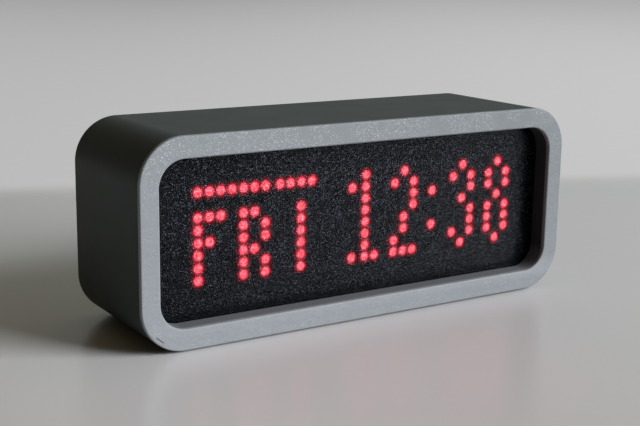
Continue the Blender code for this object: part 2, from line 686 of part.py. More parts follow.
def rear_cover(finish):
    """A plate inside the sleeve's rear edge, with posts for the main board behind it."""
    inner = (INNER_WIDTH, INNER_HEIGHT, INNER_RADIUS)
    bm = bmesh.new()
    plate = inset_rectangle(*inner, FIT)
    edge = inset_rectangle(*inner, FIT + COVER_EDGE)
    skin(bm, [at(plate, COVER_FRONT), at(plate, COVER_BACK - COVER_EDGE), at(edge, COVER_BACK)])
    cover = piece("rear_cover", bm, finish, (0, 0, CASE_MIDDLE))

    posts = bmesh.new()
    post_end = MAIN_BOARD_BACK + FIT
    for x, z in main_post_places():
        span = (post_end, COVER_FRONT + ROOT)
        cylinder(posts, COVER_POST_RADIUS, *span, SCREW_SIDES, (x, 0, z))
    combine(cover, posts, "UNION")

    cuts = bmesh.new()
    head_radius = COVER_SCREW_HEAD_RADIUS + FIT
    floor = screw_seat() - FIT
    front = COVER_FRONT - OVERRUN
    back = COVER_BACK + OVERRUN
    hole_radius = SCREW_RADIUS + FIT
    stepped = [(0, front), (hole_radius, front), (hole_radius, floor)]
    stepped += [(head_radius, floor), (head_radius, back), (0, back)]
    for x, z in boss_places():
        turn(cuts, stepped, SCREW_SIDES, (x, 0, z))
    for x, z in main_post_places():
        screw_end = MAIN_BOARD_FRONT - FIT + BOARD_SCREW_LENGTH
        cylinder(cuts, hole_radius, post_end - OVERRUN, screw_end + FIT, SCREW_SIDES, (x, 0, z))
    for _, x in button_columns():
        centre = (x, 0, BUTTON_ROW_RAISE)
        cylinder(cuts, BUTTON_RADIUS + FIT, front, back, BUTTON_SIDES, centre)
    for x, z in sound_places():
        cylinder(cuts, SOUND_HOLE_RADIUS, front, back, SOUND_HOLE_SIDES, (x, 0, z))
    socket = (SOCKET_WIDTH + 2 * FIT, SOCKET_HEIGHT + 2 * FIT)
    spot = (SOCKET_X_SHARE * MAIN_BOARD_WIDTH, BUTTON_ROW_RAISE)
    mouth = slot_outline(*socket, *spot, SOCKET_HEIGHT / 2)
    skin(cuts, [at(mouth, front), at(mouth, back)])
    length = SLIDER_PAD_LENGTH + SLIDER_TRAVEL + 2 * FIT
    spot = (SLIDER_X_SHARE * MAIN_BOARD_WIDTH + SLIDER_TRAVEL / 2, BUTTON_ROW_RAISE)
    slot = slot_outline(length, SLIDER_PAD_HEIGHT + 2 * FIT, *spot, SLIDER_CORNER)
    skin(cuts, [at(slot, front), at(slot, back)])
    combine(cover, cuts, "DIFFERENCE")
    return cover


def controller_module(finish):
    """A small carrier board with a metal can on it, leaving its antenna end bare."""
    x = CONTROLLER_X_SHARE * MAIN_BOARD_WIDTH
    half_width = CONTROLLER_WIDTH / 2
    bm = bmesh.new()
    low = (-CONTROLLER_LENGTH / 2, -CONTROLLER_BASE, -half_width)
    block(bm, low, (CONTROLLER_LENGTH / 2, 0, half_width))
    module = piece("controller_module", bm, finish, (x, MAIN_BOARD_FRONT - FIT, CASE_MIDDLE))
    can = bmesh.new()
    start = CONTROLLER_ANTENNA - CONTROLLER_LENGTH / 2
    end = CONTROLLER_LENGTH / 2 - CONTROLLER_MARGIN
    side = half_width - CONTROLLER_MARGIN
    top = -CONTROLLER_BASE - CONTROLLER_CAN
    block(can, (start, top, -side), (end, -CONTROLLER_BASE / 2, side))
    combine(module, can, "UNION")
    return module


def coin_cell_and_holder(finishes):
    """A flat cell in a round holder, with a notch to lift it out by."""
    x = CELL_X_SHARE * MAIN_BOARD_WIDTH
    place = (x, MAIN_BOARD_FRONT - FIT, CASE_MIDDLE)
    pocket = CELL_RADIUS + FIT
    outer = pocket + HOLDER_WALL
    rim = HOLDER_FLOOR + HOLDER_RIM
    profile = [(0, 0), (outer, 0), (outer, -rim), (pocket, -rim)]
    profile += [(pocket, -HOLDER_FLOOR), (0, -HOLDER_FLOOR)]
    bm = bmesh.new()
    turn(bm, profile, DISC_SIDES)
    holder = piece("cell_holder", bm, finishes["plastic"], place)
    notch = bmesh.new()
    half = HOLDER_NOTCH / 2
    low = (-half, -rim - OVERRUN, 0)
    block(notch, low, (half, -HOLDER_FLOOR - ROOT, outer + OVERRUN))
    combine(holder, notch, "DIFFERENCE")

    under = -HOLDER_FLOOR - FIT
    shoulder = under - CELL_HEIGHT + CELL_CROWN_HEIGHT
    profile = [(0, under), (CELL_RADIUS, under), (CELL_RADIUS, shoulder)]
    profile += [(CELL_CROWN_RADIUS, under - CELL_HEIGHT), (0, under - CELL_HEIGHT)]
    bm = bmesh.new()
    turn(bm, profile, DISC_SIDES)
    piece("coin_cell", bm, finishes["steel"], place)


def buzzer(finish):
    """A round sounder on the main board, its sound hole facing the rear cover."""
    hole = BUZZER_HEIGHT - BUZZER_HOLE_DEPTH
    profile = [
        (0, 0),
        (BUZZER_RADIUS, 0),
        (BUZZER_RADIUS, BUZZER_HEIGHT - BUZZER_EDGE),
        (BUZZER_RADIUS - BUZZER_EDGE, BUZZER_HEIGHT),
        (BUZZER_HOLE_RADIUS, BUZZER_HEIGHT),
        (BUZZER_HOLE_RADIUS, hole),
        (0, hole),
    ]
    bm = bmesh.new()
    turn(bm, profile, DISC_SIDES)
    x = BUZZER_X_SHARE * MAIN_BOARD_WIDTH
    return piece("buzzer", bm, finish, (x, MAIN_BOARD_BACK + FIT, CASE_MIDDLE))


def power_socket(finish):
    """A flat metal shell from the main board to just inside the cover, with a contact tongue."""
    x = SOCKET_X_SHARE * MAIN_BOARD_WIDTH
    start = MAIN_BOARD_BACK + FIT
    length = COVER_BACK - FIT - start
    floor = length - SOCKET_MOUTH_DEPTH
    shell = rounded_rectangle(SOCKET_WIDTH, SOCKET_HEIGHT, SOCKET_HEIGHT / 2 - WELD, SOCKET_STEPS)
    inner_height = SOCKET_HEIGHT - 2 * SOCKET_WALL
    inner_width = SOCKET_WIDTH - 2 * SOCKET_WALL
    mouth = rounded_rectangle(inner_width, inner_height, inner_height / 2 - WELD, SOCKET_STEPS)
    bm = bmesh.new()
    skin(bm, [at(shell, 0), at(shell, length), at(mouth, length), at(mouth, floor)])
    place = (x, start, CASE_MIDDLE + BUTTON_ROW_RAISE)
    socket = piece("power_socket", bm, finish, place)
    tongue = bmesh.new()
    half = SOCKET_TONGUE_WIDTH / 2
    low = (-half, floor - ROOT, -SOCKET_TONGUE_THICKNESS / 2)
    high = (half, floor + SOCKET_TONGUE_LENGTH, SOCKET_TONGUE_THICKNESS / 2)
    block(tongue, low, high)
    combine(socket, tongue, "UNION")
    return socket


def push_button(name, x, finishes):
    """A cap held in by its flange, the switch behind it, and the plunger that moves with it.

    All three have their origin on the line that the button moves along.
    """
    axis = (x, 0, CASE_MIDDLE + BUTTON_ROW_RAISE)
    face = COVER_BACK + BUTTON_PROUD
    flange_back = COVER_FRONT - FIT
    flange_front = flange_back - BUTTON_FLANGE_THICKNESS
    switch_base = MAIN_BOARD_BACK + FIT
    switch_top = switch_base + SWITCH_HEIGHT
    plunger_top = switch_top + PLUNGER_PROUD
    stem_end = plunger_top + FIT
    profile = [
        (0, stem_end),
        (BUTTON_STEM_RADIUS, stem_end),
        (BUTTON_STEM_RADIUS, flange_front),
        (BUTTON_FLANGE_RADIUS, flange_front),
        (BUTTON_FLANGE_RADIUS, flange_back),
        (BUTTON_RADIUS, flange_back),
        (BUTTON_RADIUS, face - BUTTON_ROUND),
        (BUTTON_RADIUS - BUTTON_ROUND, face),
        (0, face),
    ]
    bm = bmesh.new()
    turn(bm, profile, BUTTON_SIDES)
    piece(f"{name}_button", bm, finishes["button"], axis)

    bm = bmesh.new()
    half = SWITCH_SIZE / 2
    block(bm, (-half, switch_base, -half), (half, switch_top, half))
    upright = [edge for edge in bm.edges if abs(edge.verts[0].co.y - edge.verts[1].co.y) > WELD]
    bmesh.ops.bevel(bm, geom=upright, offset=SWITCH_CORNER, segments=1, affect="EDGES")
    switch = piece(f"switch_{name}", bm, finishes["plastic"], axis)
    bore = bmesh.new()
    floor = switch_top - PLUNGER_SUNK - BUTTON_TRAVEL - FIT
    cylinder(bore, PLUNGER_RADIUS + FIT, floor, switch_top + OVERRUN, SCREW_SIDES)
    combine(switch, bore, "DIFFERENCE")

    profile = [
        (0, switch_top - PLUNGER_SUNK),
        (PLUNGER_RADIUS, switch_top - PLUNGER_SUNK),
        (PLUNGER_RADIUS, plunger_top - PLUNGER_EDGE),
        (PLUNGER_RADIUS - PLUNGER_EDGE, plunger_top),
        (0, plunger_top),
    ]
    bm = bmesh.new()
    turn(bm, profile, SCREW_SIDES)
    piece(f"plunger_{name}", bm, finishes["plunger"], axis)


def alarm_slider(finishes):
    """A ribbed knob on a shield behind the cover, its tongue in a slide switch.

    It rests at OFF and moves along +X. The switch's trough is as long as that travel.
    """
    x = SLIDER_X_SHARE * MAIN_BOARD_WIDTH
    z = CASE_MIDDLE + BUTTON_ROW_RAISE
    switch_base = MAIN_BOARD_BACK + FIT
    switch_top = switch_base + SLIDE_SWITCH_HEIGHT
    shield_back = COVER_FRONT - FIT
    shield_front = shield_back - SLIDER_SHIELD_THICKNESS
    pad = rounded_rectangle(SLIDER_PAD_LENGTH, SLIDER_PAD_HEIGHT, SLIDER_CORNER, SOCKET_STEPS)
    margin = SLIDER_SHIELD_MARGIN + SLIDER_TRAVEL
    shield_size = (SLIDER_PAD_LENGTH + 2 * margin, SLIDER_PAD_HEIGHT + 2 * SLIDER_SHIELD_MARGIN)
    shield = rounded_rectangle(*shield_size, SLIDER_CORNER, SOCKET_STEPS)
    face = COVER_BACK + SLIDER_PROUD
    bm = bmesh.new()
    loops = [at(shield, shield_front), at(shield, shield_back), at(pad, shield_back)]
    skin(bm, loops + [at(pad, face)])
    knob = piece("alarm_slider", bm, finishes["button"], (x, 0, z))
    tongue = bmesh.new()
    half_length = SLIDER_TONGUE_LENGTH / 2
    half_width = SLIDER_TONGUE_WIDTH / 2
    low = (-half_length, switch_top - SLIDER_TONGUE_SUNK, -half_width)
    block(tongue, low, (half_length, shield_front + ROOT, half_width))
    combine(knob, tongue, "UNION")
    grooves = bmesh.new()
    pitch = SLIDER_PAD_LENGTH / (SLIDER_RIB_COUNT + 1)
    for index in range(SLIDER_RIB_COUNT):
        middle = (index - (SLIDER_RIB_COUNT - 1) / 2) * pitch
        start = middle - SLIDER_RIB_LENGTH / 2
        high = (start + SLIDER_RIB_LENGTH, face + OVERRUN, SLIDER_PAD_HEIGHT)
        block(grooves, (start, face - SLIDER_RIB_CUT, -SLIDER_PAD_HEIGHT), high)
    combine(knob, grooves, "DIFFERENCE")

    bm = bmesh.new()
    middle = SLIDER_TRAVEL / 2
    half = SLIDE_SWITCH_LENGTH / 2
    side = SLIDE_SWITCH_WIDTH / 2
    block(bm, (middle - half, switch_base, -side), (middle + half, switch_top, side))
    switch = piece("slide_switch", bm, finishes["steel"], (x, 0, z))
    trough = bmesh.new()
    low = (-half_length - FIT, switch_top - SLIDER_TONGUE_SUNK - FIT, -half_width - FIT)
    high = (SLIDER_TRAVEL + half_length + FIT, switch_top + OVERRUN, half_width + FIT)
    block(trough, low, high)
    combine(switch, trough, "DIFFERENCE")


def connector(name, side, location, finish):
    """A low plug housing. Side is the way it stands off its board along Y."""
    half_length = CONNECTOR_LENGTH / 2
    half_width = CONNECTOR_WIDTH / 2
    profile = [
        (-half_width, 0),
        (half_width, 0),
        (half_width, CONNECTOR_HEIGHT - CONNECTOR_EDGE),
        (half_width - CONNECTOR_EDGE, CONNECTOR_HEIGHT),
        (CONNECTOR_EDGE - half_width, CONNECTOR_HEIGHT),
        (-half_width, CONNECTOR_HEIGHT - CONNECTOR_EDGE),
    ]
    bm = bmesh.new()
    ends = (-half_length, half_length)
    skin(bm, [[(x, side * up, across) for across, up in profile] for x in ends])
    return piece(name, bm, finish, location)


def ribbon(finishes):
    """The flat cable and its two plugs, one on each of the boards' facing sides.

    The cable leaves the display board, turns up between the boards and turns back to the other.
    """
    led_z = DISPLAY_MIDDLE - CONNECTOR_DROP
    main_z = DISPLAY_MIDDLE - CONNECTOR_DROP + RIBBON_OFFSET
    connector("led_connector", 1, (0, LED_BOARD_BACK + FIT, led_z), finishes["plastic"])
    connector("board_connector", -1, (0, MAIN_BOARD_FRONT - FIT, main_z), finishes["plastic"])
    start = LED_BOARD_BACK + FIT + CONNECTOR_HEIGHT + FIT
    end = MAIN_BOARD_FRONT - FIT - CONNECTOR_HEIGHT - FIT
    middle = (start + end) / 2
    turns = [step / RIBBON_STEPS * math.pi / 2 for step in range(RIBBON_STEPS + 1)]
    middles = [(start, 0)]
    for turned in turns:
        across = RIBBON_BEND * (1 - math.sin(turned))
        middles.append((middle - across, RIBBON_BEND * (1 - math.cos(turned))))
    for y, z in reversed(middles[1:]):
        middles.append((2 * middle - y, RIBBON_OFFSET - z))
    middles.append((end, RIBBON_OFFSET))
    half = RIBBON_WIDTH / 2
    rows = []
    for index, (y, z) in enumerate(middles):
        before = Vector(middles[max(index - 1, 0)])
        after = Vector(middles[min(index + 1, len(middles) - 1)])
        along = (after - before).normalized()
        across = Vector((-along.y, along.x)) * RIBBON_THICKNESS / 2
        low = (y - across.x, z - across.y)
        high = (y + across.x, z + across.y)
        rows.append([(-half, *low), (half, *low), (half, *high), (-half, *high)])
    bm = bmesh.new()
    skin(bm, rows)
    return piece("ribbon_cable", bm, finishes["ribbon"], (0, 0, led_z))


def main_electronics(finishes):
    """The main board with what it carries on both sides, screwed to the rear cover."""
    places = main_post_places()
    size = (MAIN_BOARD_WIDTH, MAIN_BOARD_HEIGHT)
    board("main_board", *size, MAIN_BOARD_FRONT, CASE_MIDDLE, places, finishes["board"])
    controller_module(finishes["can"])
    x = CLOCK_CHIP_X_SHARE * MAIN_BOARD_WIDTH
    spot = (x, MAIN_BOARD_FRONT - FIT, CASE_MIDDLE + CLOCK_CHIP_RAISE)
    chip("clock_chip", CLOCK_CHIP_LENGTH, -1, spot, finishes["chip"])
    coin_cell_and_holder(finishes)
    buzzer(finishes["plastic"])
    power_socket(finishes["steel"])
    for name, x in button_columns():
        push_button(name, x, finishes)
    alarm_slider(finishes)
    ribbon(finishes)
    for number, place in enumerate(places, 1):
        head = (BOARD_SCREW_HEAD_RADIUS, BOARD_SCREW_HEAD_HEIGHT, BOARD_SCREW_LENGTH)
        seat = (MAIN_BOARD_FRONT - FIT, -1, place, CASE_MIDDLE)
        screw(f"main_board_screw_{number}", *head, *seat, finishes["screw"])


def cover_screws(finish):
    """One flush screw with a hexagon socket in each corner of the rear cover."""
    for number, place in enumerate(boss_places(), 1):
        head = (COVER_SCREW_HEAD_RADIUS, COVER_SCREW_HEAD_HEIGHT, COVER_SCREW_LENGTH)
        seat = (screw_seat(), 1, place, CASE_MIDDLE)
        obj = screw(f"cover_screw_{number}", *head, *seat, finish)
        drive = bmesh.new()
        floor = COVER_SCREW_HEAD_HEIGHT - DRIVE_DEPTH
        end = COVER_SCREW_HEAD_HEIGHT + OVERRUN
        cylinder(drive, DRIVE_RADIUS, floor, end, DRIVE_SIDES)
        combine(obj, drive, "DIFFERENCE")


def feet(finish):
    """Thin round pads, each in its pocket and standing a little proud of the case."""
    height = FOOT_PROUD + FOOT_POCKET - FIT
    profile = [
        (0, 0),
        (FOOT_RADIUS - FOOT_EDGE, 0),
        (FOOT_RADIUS, FOOT_EDGE),
        (FOOT_RADIUS, height),
        (0, height),
    ]
    for name, x, y in foot_places():
        bm = bmesh.new()
        turn(bm, profile, DISC_SIDES, axis=ALONG_Z)
        piece(name, bm, finish, (x, y, 0))


def main():
    for obj in list(bpy.data.objects):
        bpy.data.objects.remove(obj)
    finishes = {
        "bezel": material("grey_paint", (0.30, 0.33, 0.36), 0.45),
        "case": material("graphite_coat", (0.035, 0.038, 0.040), 0.42),
        "frame": material("dark_plastic", (0.030, 0.032, 0.035), 0.5),
        "window": material("smoked_window", (0.010, 0.010, 0.012), 0.35, alpha=0.8),
        "module": material("module_black", (0.015, 0.012, 0.012), 0.5),
        "board": material("board_green", (0.010, 0.090, 0.040), 0.45),
        "chip": material("chip_black", (0.020, 0.020, 0.022), 0.55),
        "can": material("can_steel", (0.60, 0.60, 0.60), 0.35, 1),
        "plastic": material("black_plastic", (0.020, 0.020, 0.020), 0.5),
        "plunger": material("plunger_black", (0.030, 0.030, 0.030), 0.5),
        "steel": material("bright_steel", (0.65, 0.65, 0.66), 0.3, 1),
        "screw": material("screw_steel", (0.30, 0.30, 0.31), 0.35, 1),
        "button": material("button_rubber", (0.16, 0.17, 0.18), 0.6),
        "cover": material("cover_graphite", (0.030, 0.032, 0.034), 0.5),
        "ribbon": material("ribbon_grey", (0.35, 0.36, 0.38), 0.5),
        "foot": material("foot_rubber", (0.012, 0.012, 0.012), 0.8),
    }
    front_bezel(finishes["bezel"])
    case_sleeve(finishes["case"])
    window_frame(finishes["frame"])
    display_window(finishes["window"])
    display_carrier(finishes["frame"])
    display_electronics(finishes)
    rear_cover(finishes["cover"])
    main_electronics(finishes)
    cover_screws(finishes["screw"])
    feet(finishes["foot"])


main()
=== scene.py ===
"""Finished pieces for the frame of a desk clock with a dot matrix display.

Metres, +Z up. The display faces -Y and reads along +X, and the clock stands on the plane Z = 0.
"""

import math

import bmesh
import bpy
from bpy.props import FloatProperty, FloatVectorProperty, IntProperty, PointerProperty, StringProperty
from mathutils import Matrix, Vector


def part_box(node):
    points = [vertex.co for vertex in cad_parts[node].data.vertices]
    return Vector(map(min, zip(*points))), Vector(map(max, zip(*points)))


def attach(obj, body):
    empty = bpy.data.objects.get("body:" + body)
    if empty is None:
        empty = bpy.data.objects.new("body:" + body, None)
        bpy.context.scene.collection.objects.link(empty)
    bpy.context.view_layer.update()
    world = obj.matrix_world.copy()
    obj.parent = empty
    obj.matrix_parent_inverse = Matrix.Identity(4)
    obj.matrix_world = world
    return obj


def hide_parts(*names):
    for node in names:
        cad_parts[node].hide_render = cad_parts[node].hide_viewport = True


bl_info = {
    "name": "Dot Matrix Desk Clock",
    "version": (1, 0, 0),
    "blender": (4, 5, 0),
    "location": "3D View > Sidebar > Clock",
    "description": "Finished pieces, materials and a stage for a dot matrix desk clock",
    "category": "Object",
}

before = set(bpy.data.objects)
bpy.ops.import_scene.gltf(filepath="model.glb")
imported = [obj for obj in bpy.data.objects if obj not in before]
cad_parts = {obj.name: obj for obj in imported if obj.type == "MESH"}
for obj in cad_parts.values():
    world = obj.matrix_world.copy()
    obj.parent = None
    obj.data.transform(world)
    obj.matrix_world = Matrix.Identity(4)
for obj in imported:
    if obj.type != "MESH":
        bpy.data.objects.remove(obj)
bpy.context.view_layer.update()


def box_middle(node):
    """The middle of a node's box."""
    low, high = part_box(node)
    return (low + high) / 2


MM = 0.001
QUARTER = math.pi / 2
FACING_FRONT = (QUARTER, 0, 0)
FACING_BACK = (-QUARTER, 0, 0)
HOUSING = "housing"
BUTTONS = ("alarm", "down", "up", "set")
FEET = ("foot_front_left", "foot_front_right", "foot_rear_left", "foot_rear_right")
COVER_SCREWS = ("cover_screw_1", "cover_screw_2", "cover_screw_3", "cover_screw_4")
MODULES = ("led_module_1", "led_module_2", "led_module_3", "led_module_4")

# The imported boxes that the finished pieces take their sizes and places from
RING_LOW, RING_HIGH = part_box("front_bezel")
SLEEVE_LOW, SLEEVE_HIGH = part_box("case_sleeve")
RECESS_LOW, RECESS_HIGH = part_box("window_frame")
WINDOW_LOW, WINDOW_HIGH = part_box("display_window")
CASE_WIDTH = RING_HIGH.x - RING_LOW.x
CASE_HEIGHT = RING_HIGH.z - RING_LOW.z
CASE_MIDDLE = (RING_HIGH.z + RING_LOW.z) / 2
DISPLAY_MIDDLE = box_middle(MODULES[0]).z
COVER_THICKNESS = 3.0 * MM
COVER_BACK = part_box("rear_cover")[1].y
COVER_FRONT = COVER_BACK - COVER_THICKNESS

# Clearance between pieces, the overrun of a cutter, how deep a boss sinks into its wall, and how
# close two points are made one
FIT = 0.3 * MM
OVERRUN = 1.0 * MM
ROOT = 0.5 * MM
WELD = 0.0005 * MM
SHARP = math.radians(30)
BEVEL_LIMIT = math.radians(50)
BEVEL_SEGMENTS = 3

# Facets of round shapes
CORNER_STEPS = 28
EDGE_STEPS = 8
FINE_SIDES = 64
LENS_SIDES = 12
LENS_RINGS = 6
DOT_SIDES = 36
SOCKET_STEPS = 12
SLIDER_STEPS = 6

# The sleeve's front lip and rear chamfer, and the shoulder inside it that the recess rests on
LIP = 0.2 * MM
LIP_STEPS = 3
SLEEVE_CHAMFER = 0.4 * MM
SHOULDER = 1.6 * MM
SHOULDER_DEPTH = 2.5 * MM

# The cover's rounded edge, and the heads and drives of its screws
COVER_ROUND = 0.4 * MM
COVER_ROUND_STEPS = 4
SCREW_HEIGHT = 1.5 * MM
DRIVE_SIDES = 6
SCREW_SEED = 3

# A push button's stem, the thickness of its flange, and the flat margin round its dish
STEM_RADIUS = 1.6 * MM
FLANGE = 1.0 * MM
DISH_MARGIN = 0.2 * MM
DISH_STEPS = 6

# The slider: its pad as (width, height, radius), the shield behind it, the tongue, and the
# grooves across the pad. The halves are half a width and half a height.
SLIDER_PAD = (4.4 * MM, 3.4 * MM, 0.6 * MM)
SHIELD_THICKNESS = 1.0 * MM
TONGUE_HALF = (0.8 * MM, 0.7 * MM)
GROOVE_HALF = (0.25 * MM, 3 * MM)
GROOVE_APART = 1.1 * MM
GROOVE_DEPTH = 0.3 * MM
SLIDER_BEVEL = 0.1 * MM

# The power socket: its shell, whose round ends keep a hair of flat between their arcs, and the
# blade inside it with a row of contacts on either face
SHELL_WALL = 0.35 * MM
SHELL_RIM = 0.1 * MM
SHELL_LIP = 0.05 * MM
SHELL_DEPTH = 6.2 * MM
SHELL_FLAT = 0.001 * MM
BLADE_HALF = (3.3 * MM, 0.35 * MM)
BLADE_REACH = 4.6 * MM
BLADE_BEVEL = 0.08 * MM
CONTACTS = 6
CONTACT_APART = 0.95 * MM
CONTACT_MIDDLE = 2.6 * MM
CONTACT_SIZE = {"Width": 0.4 * MM, "Run": 3.2 * MM, "Rise": 0.06 * MM}

# Edges of the modules and the feet, how much of a lens shows, and the depths of the lit dots,
# which overlap in layers behind the window
MODULE_BEVEL = 0.25 * MM
FOOT_BEVEL = 0.25 * MM
LENS_SHOWN = 0.9
DOT_GAP = 0.1 * MM
DOT_LAYER = 0.02 * MM

# The printed marks: the thickness of the print, their height above the buttons, and the words
# beside the slider, which are lower and step outwards
PRINT = 0.03 * MM
MARKS_ABOVE = 6.6 * MM
WORDS_LOWER = 1.4 * MM
OFF_STEP = 0.9 * MM
ON_STEP = 1.2 * MM
MINUS_SCALE = 1.6
PLUS_SCALE = 1.4
WORD_SCALE = 0.8

# Leads and conductors: the leads stand beyond half a chip from its middle
LEAD_PITCH = 0.635 * MM
CHIP_HALF = 3.75 * MM

# The short stroke in the ring's paint, as (x, z)
NICK_START = (-78.65 * MM, 6.58 * MM)
NICK_END = (-75.74 * MM, 4.21 * MM)
NICK_WIDTH = 0.5 * MM

# The key light is far off and wide, so the shadow has soft edges. The room has a plain strength
# where the camera sees it. The table is given by half its width, the camera's sensor in
# millimetres, and its clip as (near, far).
KEY_DISTANCE = 3.0
KEY_SIZE = (1.65, 1.6)
ROOM_SEEN = 0.52
TABLE_SIZE = 6
SENSOR = 36
CLIP = (0.01, 50)

# Where the table turns into the backdrop, as (start, end) behind the clock, how much that line
# slants, and how bright the backdrop gets. Then the pools of pale and of red light on the table,
# as (x, y, reach).
BACKDROP_FOOT = (0.188, 0.232)
BACKDROP_SLANT = 0.187
BACKDROP_TOP = 1.08
PALE_POOL = (-0.070, -0.052, 0.090)
RED_POOL = (-0.020, -0.075, 0.070)

# How a lit dot's light falls off, as (distance from its middle in millimetres, share)
DOT_FALL = (
    (0, 1.0),
    (1.15, 1.0),
    (1.35, 0.80),
    (1.55, 0.49),
    (1.75, 0.27),
    (1.95, 0.145),
    (2.2, 0.08),
    (2.5, 0.035),
    (2.95, 0.0),
)

# Plastics as (roughness, tonal spread, grain in mm, relief in mm, specular level)
COATS = {
    "sleeve_graphite": (0.5, 0.10, 0.5, 0.006, 0.34),
    "module_black": (0.75, 0.2, 0.3, 0.01, 0.5),
    "lens_smoky": (0.5, 0.15, 0.3, 0.004, 0.5),
    "cover_graphite": (0.52, 0.25, 0.35, 0.03, 0.5),
    "button_satin": (0.5, 0.12, 0.3, 0.015, 0.5),
    "slider_satin": (0.5, 0.12, 0.3, 0.015, 0.5),
    "tongue_black": (0.5, 0.2, 0.3, 0.01, 0.5),
    "foot_rubber": (0.8, 0.3, 0.5, 0.03, 0.5),
    "mark_print": (0.55, 0.1, 0.4, 0.004, 0.5),
    "plastic_black": (0.5, 0.25, 0.3, 0.02, 0.5),
    "carrier_black": (0.6, 0.2, 0.4, 0.02, 0.5),
}

# Metals as (colour, roughness, how much finer the lines are along each axis)
METALS = {
    "socket_steel": ((0.60, 0.60, 0.61), 0.30, (1, 8, 1)),
    "contact_gold": ((0.80, 0.58, 0.26), 0.3, (1, 6, 1)),
    "screw_dark": ((0.24, 0.24, 0.25), 0.36, (1, 1, 1)),
    "steel_bright": ((0.62, 0.62, 0.62), 0.30, (1, 8, 1)),
    "steel_screw": ((0.30, 0.30, 0.31), 0.36, (1, 1, 1)),
}

# Rows of lit dots from the top down, # for a lit one. Digits fill all eight rows, and letters
# the lower six.
SIGNS = {
    "0": ".#. #.# #.# #.# #.# #.# #.# .#.",
    "1": ".#. ##. .#. .#. .#. .#. .#. ###",
    "2": ".#. #.# ..# ..# .#. .#. #.. ###",
    "3": ".#. #.# ..# .#. ..# ..# #.# .#.",
    "4": "#.# #.# #.# #.# ### ..# ..# ..#",
    "5": "### #.. #.. ##. ..# ..# #.# .#.",
    "6": ".#. #.# #.. ##. #.# #.# #.# .#.",
    "7": "### ..# ..# .#. .#. .#. .#. .#.",
    "8": ".#. #.# #.# .#. #.# #.# #.# .#.",
    "9": ".#. #.# #.# #.# .## ..# #.# .#.",
    ":": "... ... .#. ... ... .#. ... ...",
    "A": ".#. #.# #.# ### #.# #.#",
    "D": "##. #.# #.# #.# #.# ##.",
    "E": "### #.. ##. #.. #.. ###",
    "F": "### #.. ##. #.. #.. #..",
    "H": "#.# #.# ### #.# #.# #.#",
    "I": ".#. .#. .#. .#. .#. .#.",
    "M": "#.# ### ### #.# #.# #.#",
    "N": "##. #.# #.# #.# #.# #.#",
    "O": ".#. #.# #.# #.# #.# .#.",
    "R": "##. #.# #.# ##. #.# #.#",
    "S": ".## #.. .#. ..# ..# ##.",
    "T": "### .#. .#. .#. .#. .#.",
    "U": "#.# #.# #.# #.# #.# ###",
    "W": "#.# #.# #.# ### ### #.#",
}
DOTS_PER_SIDE = 8
WEEKDAY_COLUMNS = (1, 5, 9)
WEEKDAY_ROW = 2
TIME_COLUMNS = (15, 19, 22, 25, 29)


def number(name, text, value, **kind):
    """A number that a user may change."""
    return FloatProperty(name=name, description=text, default=value, **kind)


def length(name, text, value, least=0):
    """A size that a user may change, in metres."""
    kind = {"unit": "LENGTH", "subtype": "DISTANCE", "min": least, "precision": 5}
    return number(name, text, value, **kind)


def turn_angle(name, text, degrees):
    """An angle that a user may change."""
    return number(name, text, math.radians(degrees), subtype="ANGLE")


def tint(name, text, value):
    """A colour that a user may change, in linear red, green and blue."""
    kind = {"subtype": "COLOR", "size": 3, "min": 0, "max": 1}
    return FloatVectorProperty(name=name, description=text, default=value, **kind)


class ClockCaseSettings(bpy.types.PropertyGroup):
    """Sizes and colours of the case."""

    ring_colour: tint("Ring colour", "Paint of the front ring", (0.250, 0.272, 0.284))
    case_colour: tint("Case colour", "Coat of the sleeve", (0.034, 0.050, 0.051))
    recess_colour: tint("Recess colour", "Plastic of the recess's walls", (0.030, 0.035, 0.037))
    corner_radius: length("Corner radius", "Outer corners seen from the front", 14.5 * MM)
    opening_radius: length("Opening radius", "Corners of the display opening", 8.6 * MM)
    rim_side: length("Rim at the sides", "Width of the ring left and right", 6.3 * MM)
    rim_top: length("Rim above and below", "Width of the ring's long sides", 6.85 * MM)
    ring_thickness: length("Ring thickness", "Thickness of the ring's plate", 1.5 * MM)
    outer_round: length("Outer rounding", "Rounding of the ring's outer edge", 0.5 * MM)
    inner_round: length("Inner rounding", "Rounding round the opening", 0.5 * MM)
    sleeve_wall: length("Sleeve wall", "Thickness of the sleeve", 3.0 * MM)
    rear_round: length("Rear rounding", "Rounding of the sleeve's rear edge", 1.0 * MM)
    frame_wall: length("Recess wall", "Thickness of the recess's walls", 1.5 * MM)
    window_lap: length("Window lap", "How far the window reaches past the opening", 1.6 * MM)


